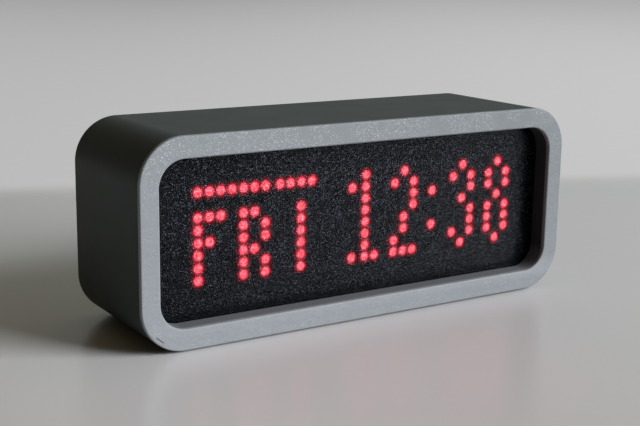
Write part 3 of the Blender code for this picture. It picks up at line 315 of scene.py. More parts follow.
class ClockDisplaySettings(bpy.types.PropertyGroup):
    """What the display says and how its dots look."""

    weekday: StringProperty(name="Weekday", description="Three letters", default="FRI")
    hour: IntProperty(name="Hour", description="Hour shown", default=12, min=0, max=23)
    minute: IntProperty(name="Minute", description="Minute shown", default=38, min=0, max=59)
    bar: IntProperty(name="Bar", description="Lit dots above the weekday", default=11, min=0)
    pitch: length("Dot pitch", "From one dot to the next", 4.0 * MM)
    module_gap: length("Module gap", "Extra space between two modules", 1.3 * MM)
    lens_radius: length("Lens radius", "Clear dome over each dot", 1.5 * MM)
    lens_rise: length("Lens rise", "Height of that dome", 0.4 * MM)
    glow_radius: length("Glow radius", "How far a lit dot's glow reaches", 3.0 * MM)
    dot_colour: tint("Dot colour", "Middle of a lit dot", (1.0, 0.120, 0.165))
    dot_rim_colour: tint("Dot edge colour", "Glow at the edge of a lit dot", (1.0, 0.030, 0.060))
    dot_strength: number("Dot strength", "Light of a dot", 24.5)
    window_colour: tint("Window colour", "Smoked sheet", (0.0008, 0.0010, 0.0015))
    fleck_colour: tint("Fleck colour", "Fine grain in the sheet", (0.090, 0.106, 0.132))
    window_cover: number("Window cover", "How much each face hides", 0.78, subtype="FACTOR", max=1)


class ClockRearSettings(bpy.types.PropertyGroup):
    """Sizes and colours of the back and of the controls."""

    cover_colour: tint("Cover colour", "Plastic of the rear cover", (0.040, 0.046, 0.049))
    button_colour: tint("Button colour", "Plastic of the controls", (0.19, 0.20, 0.21))
    mark_colour: tint("Mark colour", "Print beside the controls", (0.62, 0.64, 0.65))
    button_radius: length("Button radius", "Radius of a push button's cap", 3.5 * MM)
    button_round: length("Button rounding", "Rounding of its edge", 0.45 * MM)
    button_dish: length("Button dish", "How deep its face is dished", 0.18 * MM)
    edge_bevel: length("Edge bevel", "Bevel round the cover's holes", 0.2 * MM)
    sound_hole_radius: length("Sound hole", "Radius of one sound hole", 0.8 * MM)
    sound_ring_radius: length("Sound ring", "Radius of the ring of holes", 3.2 * MM)
    sound_holes: IntProperty(name="Sound holes", description="In the ring", default=6, min=3)
    screw_radius: length("Screw head", "Radius of a cover screw's head", 2.75 * MM)
    screw_bevel: length("Screw bevel", "Bevel of its edges", 0.2 * MM)
    drive_radius: length("Screw drive", "Radius of its hexagon socket", 1.2 * MM)
    drive_depth: length("Screw drive depth", "Depth of that socket", 0.8 * MM)
    slider_travel: length("Slider travel", "From OFF to ON", 2.5 * MM)
    mark_height: length("Mark height", "Height of the printed marks", 2.6 * MM)


class ClockStageSettings(bpy.types.PropertyGroup):
    """Camera, lamps and the surface that the clock stands on."""

    azimuth: turn_angle("Azimuth", "Camera's turn to the left of the front", 32.891)
    elevation: turn_angle("Elevation", "Camera's height above the horizon", 12.489)
    roll: turn_angle("Roll", "Turn of the camera about its own axis", 0.853)
    distance: length("Distance", "From the camera to the display's plane", 401.02 * MM)
    shift_right: length("Step right", "Camera's step to its right", -12.823 * MM, -1)
    shift_up: length("Step up", "Camera's step upwards", 1.160 * MM, -1)
    focal: number("Lens", "Focal length, mm", 67.512)
    table_colour: tint("Table colour", "Surface under the clock", (0.72, 0.722, 0.72))
    wall_colour: tint("Wall colour", "Backdrop behind it", (0.53, 0.535, 0.53))
    key_colour: tint("Key colour", "Colour of the key light", (0.94, 0.95, 1.0))
    key_power: number("Key light", "Watts", 120.0)
    key_elevation: turn_angle("Key elevation", "Height of the key light", 24.0)
    key_turn: turn_angle("Key turn", "Key's turn from the right towards the camera", 17.5)
    room_low: number("Room", "Light of the room's dark side", 0.030)
    room_high: number("Backlight", "More on its bright side", 0.50)
    room_top: number("Top light", "More from overhead", 0.165)


class Wire:
    """A node's output, for sums and products. Each operation adds a Math node."""

    def __init__(self, nodes, socket):
        self.nodes = nodes
        self.socket = socket

    def math(self, operation, *values):
        sockets = dict(enumerate(values))
        return self.nodes.node("ShaderNodeMath", {"operation": operation}, sockets)

    def __add__(self, other):
        return self.math("ADD", self, other)

    def __sub__(self, other):
        return self.math("SUBTRACT", self, other)

    def __rsub__(self, other):
        return self.math("SUBTRACT", other, self)

    def __mul__(self, other):
        return self.math("MULTIPLY", self, other)

    def __truediv__(self, other):
        return self.math("DIVIDE", self, other)

    def __rtruediv__(self, other):
        return self.math("DIVIDE", other, self)

    def __abs__(self):
        return self.math("ABSOLUTE", self)

    __radd__ = __add__
    __rmul__ = __mul__

    def step(self, low, high):
        """0 below low, 1 above high, and smooth between."""
        settings = {"interpolation_type": "SMOOTHSTEP"}
        sockets = {"Value": self, "From Min": low, "From Max": high}
        return self.nodes.node("ShaderNodeMapRange", settings, sockets)

    def waves(self, half):
        """Up from 0 to 1 and down again in straight lines, each of the given length."""
        return self.math("PINGPONG", self, half) / half


class Nodes:
    """A node tree, with one method that adds any node."""

    def __init__(self, tree):
        self.tree = tree

    def node(self, kind, settings=None, sockets=None, output=0):
        """Adds a node: its settings first, then the values or links of its sockets."""
        node = self.tree.nodes.new(kind)
        for key, value in (settings or {}).items():
            if key == "stops":
                self.set_stops(node.color_ramp, value)
            else:
                setattr(node, key, value)
        for key, value in (sockets or {}).items():
            self.feed(node.inputs[key], value)
        return Wire(self, node.outputs[output])

    def feed(self, socket, value):
        """Links a wire to a socket, or sets the socket's own value."""
        if isinstance(value, Wire):
            self.tree.links.new(value.socket, socket)
        else:
            socket.default_value = value

    def mix(self, factor, first, second):
        """A colour between two others."""
        first = first if isinstance(first, Wire) else (*first, 1)
        second = second if isinstance(second, Wire) else (*second, 1)
        sockets = {"Factor": factor, 6: first, 7: second}
        return self.node("ShaderNodeMix", {"data_type": "RGBA"}, sockets, 2)

    def set_stops(self, ramp, stops):
        """Places a ramp's grey stops, given as (place, value)."""
        while len(ramp.elements) < len(stops):
            ramp.elements.new(1)
        for element, (place, value) in zip(ramp.elements, stops):
            element.position = place
            element.color = (value, value, value, 1)

    def vector(self, x=0, y=0, z=0):
        """A vector of three numbers or wires."""
        return self.node("ShaderNodeCombineXYZ", None, {"X": x, "Y": y, "Z": z})

    def along(self, place, direction):
        """How far a place lies along a direction."""
        sockets = {0: place, 1: direction}
        return self.node("ShaderNodeVectorMath", {"operation": "DOT_PRODUCT"}, sockets, "Value")

    def seen(self):
        """1 for what the camera sees directly."""
        return self.node("ShaderNodeLightPath", output="Is Camera Ray")


class Finish(Nodes):
    """A material with its shader, and the patterns that its finishes share."""

    def __init__(self, name, specular=0.5):
        self.material = bpy.data.materials.new(name)
        self.material.use_nodes = True
        super().__init__(self.material.node_tree)
        self.shader = self.tree.nodes["Principled BSDF"]
        self.place = self.node("ShaderNodeTexCoord", output="Object")
        self.set("Specular IOR Level", specular)

    def set(self, name, value):
        """Feeds one of the shader's inputs."""
        self.feed(self.shader.inputs[name], value)

    def fill(self, colour, roughness, relief, strength, depth):
        """Feeds the colour, the roughness and a fine relief, and returns the finish."""
        self.set("Base Color", colour)
        self.set("Roughness", roughness)
        sockets = {"Height": relief, "Strength": strength, "Distance": depth}
        self.set("Normal", self.node("ShaderNodeBump", None, sockets, "Normal"))
        return self

    def axis(self, name):
        """One coordinate of the place on the piece."""
        return self.node("ShaderNodeSeparateXYZ", None, {"Vector": self.place}, name)

    def noise(self, size, detail=2.0, stretch=None):
        """Noise whose features are about size across, from 0 to 1."""
        place = self.place
        if stretch:
            sockets = {"Vector": place, "Scale": Vector(stretch)}
            place = self.node("ShaderNodeMapping", None, sockets)
        sockets = {"Vector": place, "Scale": 1 / size, "Detail": detail}
        return self.node("ShaderNodeTexNoise", None, sockets)

    def grains(self, apart, share):
        """Round grains, 1 inside one and 0 between them, of which only a share shows."""
        sockets = {"Vector": self.place, "Scale": 1 / apart}
        distance = self.node("ShaderNodeTexVoronoi", None, sockets, "Distance")
        colour = Wire(self, distance.socket.node.outputs["Color"])
        chance = self.node("ShaderNodeSeparateColor", None, {"Color": colour}, "Red")
        return (1 - distance.step(0.12, 0.42)) * chance.step(1 - share, 1.0)

    def stroke(self, start, end, width):
        """1 on a straight stroke across the front, between two places given as (x, z)."""
        run = Vector(end) - Vector(start)
        reach = run.length
        run.normalize()
        x, z = self.axis("X") - start[0], self.axis("Z") - start[1]
        along = x * run.x + z * run.y
        across = abs(x * run.y - z * run.x)
        ends = along.step(0, width) * (reach - along).step(0, width)
        return (1 - across.step(width * 0.3, width * 0.6)) * ends

    def pool(self, x, y, reach):
        """1 at a place on a level surface, falling to 0 at the given reach."""
        across, along = self.axis("X") - x, self.axis("Y") - y
        return 1 - (across * across + along * along).step(0, reach * reach)


def lighter(colour, factor):
    """The same hue, lighter or darker."""
    return tuple(min(1.0, part * factor) for part in colour)


def coat(name, colour):
    """A moulded or painted plastic: soft tonal drift, fine grain and a fine relief."""
    roughness, spread, grain, depth, specular = COATS[name]
    finish = Finish(name, specular)
    drift = finish.noise(14 * MM)
    fine = finish.noise(grain * MM, 3)
    tone = drift * 0.4 + fine * 0.6
    base = finish.mix(tone.step(0.3, 0.7), lighter(colour, 1 - spread), lighter(colour, 1 + spread))
    rough = drift * 0.12 + fine * 0.10 + (roughness - 0.11)
    return finish.fill(base, rough, fine, 0.5, depth * MM)


def metal(name):
    """Metal with fine drawn lines."""
    colour, roughness, stretch = METALS[name]
    finish = Finish(name)
    finish.set("Metallic", 1.0)
    lines = finish.noise(0.5 * MM, 3, stretch)
    tone = lines * 0.6 + finish.noise(6 * MM) * 0.4
    base = finish.mix(tone, lighter(colour, 0.8), lighter(colour, 1.15))
    return finish.fill(base, lines * 0.2 + (roughness - 0.1), lines, 0.3, 0.01 * MM)


def ring_paint(settings):
    """Satin grey with bright specks in loose patches, drawn as painted glints, and faint swirls from
    polishing. Painted light makes it lighter toward the lower left and adds a highlight just below
    the opening.
    """
    colour = settings.ring_colour
    finish = Finish("ring_speckled_grey", 0.3)
    patches = finish.noise(11 * MM, 1)
    fine = finish.noise(0.55 * MM, 1)
    swirl = finish.noise(2.2 * MM, 2, (1, 1, 2.2))
    height = finish.axis("Z") - CASE_MIDDLE
    drop = CASE_MIDDLE - finish.axis("Z")
    # Painted light: the ring is painted lighter toward the lower left and darker toward the upper
    # right.
    drift = (finish.axis("X") * 0.6 + height * 1.2).step(-0.1, 0.1)
    # Painted highlight: a lighter band on the bottom bar just below the opening, where the light
    # catches it.
    lip = drop.step(20 * MM, 26 * MM) * (1 - drop.step(26.4 * MM, 30 * MM))
    # Painted glints: bright specks of the paint's grain, painted as glints, with more of them toward
    # the top, where the light catches them.
    above = height.step(14 * MM, 26 * MM) * 0.65 + 0.35
    specks = finish.grains(0.44 * MM, 0.95) * patches.step(0.28, 0.52) * above
    nick = finish.stroke(NICK_START, NICK_END, NICK_WIDTH)
    layers = (
        (lip * 0.5, 1.36),
        (swirl.step(0.3, 0.7) * 0.12, 0.6),
        (specks, 2.9),
        (nick * 0.8, 0.25),
        ((1 - fine).step(0.58, 0.72) * 0.3, 0.7),
    )
    body = finish.mix(drift, lighter(colour, 1.24), lighter(colour, 0.84))
    for mask, factor in layers:
        body = finish.mix(mask, body, lighter(colour, factor))
    return finish.fill(body, swirl * 0.16 + 0.46, fine * 0.6 + swirl * 0.4, 0.5, 0.02 * MM)


def recess_plastic(settings):
    """Dark plastic whose bottom wall is painted in a lighter copy of the ring's colour, as painted
    light from above.
    """
    dark = settings.recess_colour
    finish = Finish("recess_plastic", 0.2)
    fine = finish.noise(0.4 * MM, 3)
    base = finish.mix(fine.step(0.3, 0.7), lighter(dark, 0.9), lighter(dark, 1.1))
    # Painted light: the bottom wall is painted much lighter than the side walls, as if lit from
    # above.
    low = (CASE_MIDDLE - finish.axis("Z")).step(17 * MM, 24.5 * MM)
    base = finish.mix(low, base, lighter(settings.ring_colour, 0.68))
    return finish.fill(base, 0.6, fine, 0.5, 0.006 * MM)


def smoked_sheet(settings):
    """A glossy, nearly black sheet full of fine metal grain that glints, with painted shade toward
    the right and the bottom.
    """
    fleck = settings.fleck_colour
    finish = Finish("window_smoked", 0.08)
    fine = finish.noise(0.35 * MM, 1)
    coarse = finish.noise(1.3 * MM, 1)
    flakes = finish.grains(0.5 * MM, 0.8)
    # Painted shade: the grain darkens toward the right, more so near the right wall as a painted
    # reflection of that dark wall, and its bright flakes thin out toward the bottom except on the
    # right.
    shade_rightward = finish.axis("X").step(-75 * MM, 75 * MM)
    edge = finish.axis("X").step(62 * MM, 73 * MM)
    low = (CASE_MIDDLE - finish.axis("Z")).step(-5 * MM, 18 * MM)
    grain = (flakes + fine.step(0.35, 0.7) * 0.25).step(0, 1)
    grain = grain * (1.05 - shade_rightward * 0.4 - edge * 0.4)
    base = finish.mix(grain, settings.window_colour, fleck)
    base = finish.mix(flakes * (1 - low * (1 - shade_rightward)), base, lighter(fleck, 1.55))
    finish.set("Metallic", grain)
    finish.set("Alpha", coarse.step(0.3, 0.7) * 0.06 + (settings.window_cover - 0.03))
    return finish.fill(base, coarse * 0.06 + 0.12, fine, 0.9, 0.06 * MM)


def dot_light(settings):
    """A lit dot's light: full in the middle, falling off to a deep red glow at its edge."""
    finish = Finish("dot_lit_red", 0.0)
    spread = finish.node("ShaderNodeAttribute", {"attribute_name": "spread"}, None, "Fac")
    reach = settings.glow_radius
    stops = [(radius * MM / reach, value) for radius, value in DOT_FALL]
    redden = spread.step(0.9 * MM / reach, 1.9 * MM / reach)
    grain = finish.noise(0.8 * MM, 1)
    dark, light = lighter(settings.dot_colour, 0.3), lighter(settings.dot_colour, 1.85)
    middle = finish.mix(grain.step(0.36, 0.64), (1.0, *dark[1:]), (1.0, *light[1:]))
    finish.set("Alpha", finish.node("ShaderNodeValToRGB", {"stops": stops}, {"Fac": spread}))
    finish.set("Base Color", (0.02, 0.0, 0.0, 1))
    finish.set("Roughness", 0.6)
    finish.set("Emission Color", finish.mix(redden, middle, settings.dot_rim_colour))
    finish.set("Emission Strength", settings.dot_strength)
    return finish


def circuit_board():
    """Green solder mask over copper lines, with a mottled sheen."""
    finish = Finish("board_solder_mask")
    wander = finish.noise(9 * MM, 0) * (12 * MM)
    lanes = (finish.axis("Z") + wander).waves(0.9 * MM)
    columns = (finish.axis("X") + wander).waves(2.4 * MM)
    copper = lanes.step(0.62, 0.7) * columns.step(0.1, 0.16)
    base = finish.mix(copper, (0.006, 0.060, 0.026), (0.014, 0.110, 0.046))
    base = finish.mix(finish.noise(0.6 * MM) * 0.3, base, (0.004, 0.040, 0.018))
    return finish.fill(base, finish.noise(3 * MM) * 0.15 + 0.28, copper, 0.6, 0.035 * MM)


def chip_plastic(name):
    """Black moulded plastic between a chip's leads, and tinned metal beyond its body."""
    finish = Finish(f"{name}_black")
    off_middle = abs(finish.axis("Z") - box_middle(name).z)
    lead = off_middle.step(CHIP_HALF, CHIP_HALF + 0.05 * MM)
    tooth = finish.axis("X").waves(LEAD_PITCH).step(0.4, 0.5)
    grain = finish.noise(0.2 * MM, 3)
    black = finish.mix(grain, (0.012, 0.012, 0.013), (0.030, 0.030, 0.032))
    tin = finish.mix(tooth, (0.05, 0.05, 0.05), (0.55, 0.55, 0.53))
    finish.set("Metallic", lead * tooth)
    return finish.fill(finish.mix(lead, black, tin), grain * 0.2 + 0.38, grain, 0.5, 0.02 * MM)


def controller_finish():
    """A metal can with drawn lines on a dark carrier board."""
    finish = Finish("controller_can")
    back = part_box("controller_module")[1].y
    can = (back - finish.axis("Y")).step(0.9 * MM, 0.95 * MM)
    lines = finish.noise(0.4 * MM, 3, (1, 1, 14))
    steel = finish.mix(lines, (0.42, 0.42, 0.42), (0.66, 0.66, 0.65))
    carrier = finish.mix(finish.noise(1.2 * MM), (0.010, 0.012, 0.020), (0.024, 0.026, 0.040))
    finish.set("Metallic", can)
    return finish.fill(finish.mix(can, carrier, steel), lines * 0.2 + 0.25, lines, 0.4, 0.01 * MM)


def ribbon_finish():
    """Grey insulation with a groove between conductors and one coloured edge."""
    finish = Finish("ribbon_grey")
    across = finish.axis("X")
    groove = across.waves(LEAD_PITCH)
    worn = finish.noise(1.5 * MM)
    stripe = (across * -1).step(5.1 * MM, 5.2 * MM)
    grey = finish.mix(worn, (0.27, 0.28, 0.30), (0.38, 0.39, 0.41))
    grey = finish.mix(stripe, grey, (0.45, 0.03, 0.03))
    # Painted shade: the grooves between conductors are painted darker.
    grey = finish.mix(groove.step(0.15, 0.0), grey, (0.14, 0.15, 0.16))
    return finish.fill(grey, worn * 0.2 + 0.4, groove.step(0, 0.4), 0.8, 0.12 * MM)


def rounded_rectangle(width, height, radius, steps):
    """The outline of an upright plate about the origin, as (x, z), counterclockwise."""
    points = []
    for quarter, (side_x, side_z) in enumerate(((1, 1), (-1, 1), (-1, -1), (1, -1))):
        middle_x = side_x * (width / 2 - radius)
        middle_z = side_z * (height / 2 - radius)
        for step in range(steps + 1):
            angle = (quarter + step / steps) * QUARTER
            x = middle_x + radius * math.cos(angle)
            points.append((x, middle_z + radius * math.sin(angle)))
    return points


def rounding(radius, steps=EDGE_STEPS):
    """Points of a rounded edge from its side to its face, as (inset, distance from the face)."""
    turns = [step / steps * QUARTER for step in range(steps + 1)]
    return [(radius * (1 - math.cos(turn)), radius * (1 - math.sin(turn))) for turn in turns]


def skin(bm, sections, ring=False, middle=(0.0, CASE_MIDDLE), steps=CORNER_STEPS):
    """A solid through upright rounded rectangles, given as ((width, height, radius), inset, y).

    A ring closes on itself, and others get ends.
    """
    rows = []
    for (width, height, radius), inset, y in sections:
        sizes = (width - 2 * inset, height - 2 * inset, radius - inset)
        outline = rounded_rectangle(*sizes, steps)
        rows.append([bm.verts.new((middle[0] + x, y, middle[1] + z)) for x, z in outline])
    pairs = list(zip(rows, rows[1:]))
    if ring:
        pairs.append((rows[-1], rows[0]))
    else:
        bm.faces.new(rows[0])
        bm.faces.new(rows[-1])
    for near, far in pairs:
        for index in range(len(near)):
            bm.faces.new((near[index - 1], near[index], far[index], far[index - 1]))


def lathe(bm, profile, centre, axis):
    """A solid turned about an axis: the profile is (radius, place along the axis) in order."""
    centre = Vector(centre)
    outwards = axis.orthogonal().normalized()
    before = set(bm.verts)
    points = [centre + outwards * radius + axis * along for radius, along in profile]
    verts = [bm.verts.new(point) for point in points]
    geometry = verts + [bm.edges.new(pair) for pair in zip(verts, verts[1:])]
    whole = 2 * math.pi
    bmesh.ops.spin(bm, geom=geometry, cent=centre, axis=axis, angle=whole, steps=FINE_SIDES)
    made = [vert for vert in bm.verts if vert not in before]
    bmesh.ops.remove_doubles(bm, verts=made, dist=WELD)


def linked(name, data):
    """A new object in the scene."""
    obj = bpy.data.objects.new(name, data)
    bpy.context.scene.collection.objects.link(obj)
    return obj


def made_object(name, bm):
    """The object of a mesh that is being built, with its faces pointing out."""
    bmesh.ops.recalc_face_normals(bm, faces=bm.faces)
    mesh = bpy.data.meshes.new(name)
    bm.to_mesh(mesh)
    bm.free()
    return linked(name, mesh)


def skinned(name, sections, **options):
    """An object made of one skin."""
    bm = bmesh.new()
    skin(bm, sections, **options)
    return made_object(name, bm)


def blocks(name, corners):
    """An object made of blocks, each given by its lowest and highest corner."""
    bm = bmesh.new()
    for low, high in corners:
        size = Vector(high) - Vector(low)
        middle = (Vector(high) + Vector(low)) / 2
        bmesh.ops.create_cube(bm, size=1, matrix=Matrix.LocRotScale(middle, None, size))
    return made_object(name, bm)


def block_round(x, z, half, front, back):
    """The corners of a block round an axis along Y, from its half width and half height."""
    return (x - half[0], front, z - half[1]), (x + half[0], back, z + half[1])


def evaluated(obj):
    """The plain mesh that an object gives with its modifiers."""
    bpy.context.view_layer.update()
    graph = bpy.context.evaluated_depsgraph_get()
    return bpy.data.meshes.new_from_object(obj.evaluated_get(graph), depsgraph=graph)


def settle(obj):
    """Turns the object's modifiers into a plain mesh and removes them."""
    mesh = evaluated(obj)
    obj.modifiers.clear()
    obj.data = mesh
    mesh.name = obj.name


def modify(obj, kind, **settings):
    """Applies a modifier with the given settings."""
    modifier = obj.modifiers.new(kind.title(), kind)
    for key, value in settings.items():
        setattr(modifier, key, value)
    settle(obj)


def combine(obj, tool, operation="DIFFERENCE"):
    """Cuts a closed shape out of a piece, or joins it on, and removes it."""
    modify(obj, "BOOLEAN", operation=operation, object=tool, solver="EXACT")
    bpy.data.objects.remove(tool)


def seat(obj, slot, *replaced, body=HOUSING):
    """Says which body the piece rides on and which nodes it stands for, which it hides. The slot is
    not used.
    """
    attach(obj, body)
    if replaced:
        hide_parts(*replaced)


def polish(obj, finish, slot, *replaced, body=HOUSING, bevel=0):
    """Bevels what is sharp, shades the rest smoothly, gives the finish and seats the piece."""
    if bevel:
        limits = {"limit_method": "ANGLE", "angle_limit": BEVEL_LIMIT, "segments": BEVEL_SEGMENTS}
        modify(obj, "BEVEL", width=bevel, use_clamp_overlap=True, **limits)
    obj.data.shade_smooth()
    obj.data.set_sharp_from_angle(angle=SHARP)
    modify(obj, "WEIGHTED_NORMAL", keep_sharp=True)
    obj.data.materials.clear()
    obj.data.materials.append(finish.material)
    for polygon in obj.data.polygons:
        polygon.material_index = 0
    seat(obj, slot, *replaced, body=body)


def dress(node, finish):
    """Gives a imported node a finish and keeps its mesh."""
    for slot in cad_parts[node].material_slots:
        slot.material = finish.material


class Rule(Nodes):
    """A geometry node tree with named inputs, which ends in one realized, finished mesh."""

    def __init__(self, name, *inputs):
        super().__init__(bpy.data.node_groups.new(name, "GeometryNodeTree"))
        face = self.tree.interface
        face.new_socket("Geometry", in_out="OUTPUT", socket_type="NodeSocketGeometry")
        face.new_socket("Geometry", in_out="INPUT", socket_type="NodeSocketGeometry")
        kinds = {"Finish": "Material", "Sides": "Int", "Seed": "Int"}
        self.keys = {}
        for label in (*inputs, "Finish"):
            kind = f"NodeSocket{kinds.get(label, 'Float')}"
            self.keys[label] = face.new_socket(label, in_out="INPUT", socket_type=kind).identifier
        self.entry = self.tree.nodes.new("NodeGroupInput")

    def input(self, label):
        """One of the tree's inputs."""
        return Wire(self, self.entry.outputs[label])

    def drum(self, sides, radius, depth, lift=0):
        """An upright drum, with its middle raised by lift."""
        sockets = {"Vertices": sides, "Radius": radius, "Depth": depth}
        drum = self.node("GeometryNodeMeshCylinder", None, sockets)
        sockets = {"Geometry": drum, "Translation": self.vector(z=lift)}
        return self.node("GeometryNodeTransform", None, sockets)

    def end(self, shape, turn, scale=(1, 1, 1)):
        """Sets a turned copy of the shape on each point, realizes all and sets their material."""
        sockets = {"Points": self.input("Geometry"), "Instance": shape}
        sockets.update(Rotation=turn, Scale=scale)
        copies = self.node("GeometryNodeInstanceOnPoints", None, sockets)
        real = self.node("GeometryNodeRealizeInstances", None, {"Geometry": copies})
        sockets = {"Geometry": real, "Material": self.input("Finish")}
        done = self.node("GeometryNodeSetMaterial", None, sockets)
        output = self.tree.nodes.new("NodeGroupOutput")
        self.tree.links.new(done.socket, output.inputs["Geometry"])
        return self

    def make(self, name, places, sizes, finish=None, radii=None):
        """The plain mesh that the tree gives on points, with a radius for each if they differ."""
        mesh = bpy.data.meshes.new(name)
        mesh.from_pydata(places, [], [])
        if radii:
            attribute = mesh.attributes.new("radius", "FLOAT", "POINT")
            attribute.data.foreach_set("value", radii)
        obj = linked(name, mesh)
        modifier = obj.modifiers.new(self.tree.name, "NODES")
        modifier.node_group = self.tree
        modifier[self.keys["Finish"]] = finish.material if finish else None
        for label, value in sizes.items():
            modifier[self.keys[label]] = value
        obj.update_tag()
        settle(obj)
        return obj


def disc_rule():
    """Thin discs facing the front, with each point's share of the radius kept as spread."""
    rule = Rule("discs_on_points", "Radius", "Sides")
    radius = rule.input("Radius")
    sockets = {"Vertices": rule.input("Sides"), "Radius": radius}
    circle = rule.node("GeometryNodeMeshCircle", {"fill_type": "TRIANGLE_FAN"}, sockets)
    place = rule.node("GeometryNodeInputPosition")
    reach = rule.node("ShaderNodeVectorMath", {"operation": "LENGTH"}, {0: place}, "Value")
    sockets = {"Geometry": circle, "Name": "spread", "Value": reach / radius}
    kind = {"data_type": "FLOAT", "domain": "POINT"}
    marked = rule.node("GeometryNodeStoreNamedAttribute", kind, sockets)
    return rule.end(marked, FACING_FRONT)


def lens_rule():
    """Low domes facing the front, each half sunk in the face that it stands on."""
    rule = Rule("lenses_on_points", "Radius", "Rise", "Sides")
    sockets = {"Segments": rule.input("Sides"), "Rings": LENS_RINGS, "Radius": 1.0}
    ball = rule.node("GeometryNodeMeshUVSphere", None, sockets)
    radius = rule.input("Radius")
    return rule.end(ball, FACING_FRONT, rule.vector(radius, radius, rule.input("Rise")))


def hole_rule():
    """Upright round cutters facing the back, each as wide as its point's radius says."""
    rule = Rule("cutters_on_points", "Depth", "Sides")
    drum = rule.drum(rule.input("Sides"), 1.0, rule.input("Depth"))
    kind = {"data_type": "FLOAT"}
    radius = rule.node("GeometryNodeInputNamedAttribute", kind, {"Name": "radius"})
    return rule.end(drum, FACING_BACK, rule.vector(radius, radius, 1.0))


def screw_rule():
    """Flat screw heads facing the back, each with a hexagon socket turned its own way."""
    rule = Rule("screws_on_points", "Sides", "Seed", "Radius", "Height", "Drive", "Depth")
    height = rule.input("Height")
    head = rule.drum(rule.input("Sides"), rule.input("Radius"), height)
    drive = rule.drum(DRIVE_SIDES, rule.input("Drive"), rule.input("Depth") * 2, height * 0.5)
    cutting = {"operation": "DIFFERENCE", "solver": "EXACT"}
    sockets = {"Mesh 1": head, "Mesh 2": drive}
    head = rule.node("GeometryNodeMeshBoolean", cutting, sockets, "Mesh")
    sockets = {3: math.pi, "Seed": rule.input("Seed")}
    angle = rule.node("FunctionNodeRandomValue", {"data_type": "FLOAT"}, sockets, 1)
    sockets = {"Rotation": rule.vector(-QUARTER), "Rotate By": rule.vector(z=angle)}
    return rule.end(head, rule.node("FunctionNodeRotateEuler", {"space": "LOCAL"}, sockets))


def pad_rule():
    """Low round pads standing on their points."""
    rule = Rule("pads_on_points", "Radius", "Height", "Sides")
    height = rule.input("Height")
    pad = rule.drum(rule.input("Sides"), rule.input("Radius"), height, height * 0.5)
    return rule.end(pad, (0, 0, 0))


def bar_rule():
    """Flat bars centred on their points."""
    rule = Rule("bars_on_points", *CONTACT_SIZE)
    size = rule.vector(*(rule.input(label) for label in CONTACT_SIZE))
    return rule.end(rule.node("GeometryNodeMeshCube", None, {"Size": size}), (0, 0, 0))


def case_sizes(settings):
    """Outer, inner, opening and window outlines as (width, height, radius)."""
    radius, wall, lap = settings.corner_radius, settings.sleeve_wall, settings.window_lap
    outer = (CASE_WIDTH, CASE_HEIGHT, radius)
    inner = (CASE_WIDTH - 2 * wall, CASE_HEIGHT - 2 * wall, radius - wall)
    width = CASE_WIDTH - 2 * settings.rim_side
    opening = (width, CASE_HEIGHT - 2 * settings.rim_top, settings.opening_radius)
    window = (width + 2 * lap, opening[1] + 2 * lap, opening[2] + lap)
    return outer, inner, opening, window


class CLOCK_OT_ring(bpy.types.Operator):
    """Makes the grey ring round the front"""

    bl_idname = "clock.ring"
    bl_label = "Front Ring"

    def execute(self, context):
        settings = context.scene.clock_case
        outer, inner, opening, _ = case_sizes(settings)
        front = RING_LOW.y
        back = front + settings.ring_thickness
        wall = -settings.frame_wall - FIT
        outside = rounding(settings.outer_round)
        inside = reversed(rounding(settings.inner_round))
        sections = [(outer, 0, back)]
        sections += [(outer, inset, front + drop) for inset, drop in outside]
        sections += [(opening, -inset, front + drop) for inset, drop in inside]
        sections += [(opening, 0, back), (opening, wall, back), (opening, wall, RING_HIGH.y)]
        sections += [(inner, FIT, RING_HIGH.y), (inner, FIT, back)]
        ring = skinned("ring", sections, ring=True)
        polish(ring, ring_paint(settings), "grey_bezel", "front_bezel")
        return {"FINISHED"}


class CLOCK_OT_sleeve(bpy.types.Operator):
    """Makes the dark sleeve that the clock is built in"""

    bl_idname = "clock.sleeve"
    bl_label = "Case Sleeve"

    def execute(self, context):
        settings = context.scene.clock_case
        outer, inner, _, _ = case_sizes(settings)
        front, back = SLEEVE_LOW.y, SLEEVE_HIGH.y
        step_front = RECESS_HIGH.y + FIT
        step_back = step_front + SHOULDER_DEPTH
        lip = reversed(rounding(LIP, LIP_STEPS))
        sections = [(outer, inset, front + drop) for inset, drop in lip]
        sections += [(outer, inset, back - drop) for inset, drop in rounding(settings.rear_round)]
        sections += [(inner, -SLEEVE_CHAMFER, back), (inner, 0, back - SLEEVE_CHAMFER)]
        sections += [(inner, 0, step_back), (inner, SHOULDER, step_back)]
        sections += [(inner, SHOULDER, step_front), (inner, 0, step_front), (inner, 0, front)]
        sleeve = skinned("sleeve", sections, ring=True)
        cutters = bmesh.new()
        for name in FEET:
            low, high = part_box(name)
            middle = box_middle(name)
            radius, top = (high.x - low.x) / 2 + FIT, high.z + FIT
            profile = [(0, 0), (radius, 0), (radius, top), (0, top)]
            lathe(cutters, profile, (middle.x, middle.y, 0), Vector((0, 0, 1)))
        combine(sleeve, made_object("sleeve_cutters", cutters))
        finish = coat("sleeve_graphite", settings.case_colour)
        polish(sleeve, finish, "graphite_case", "case_sleeve")
        return {"FINISHED"}


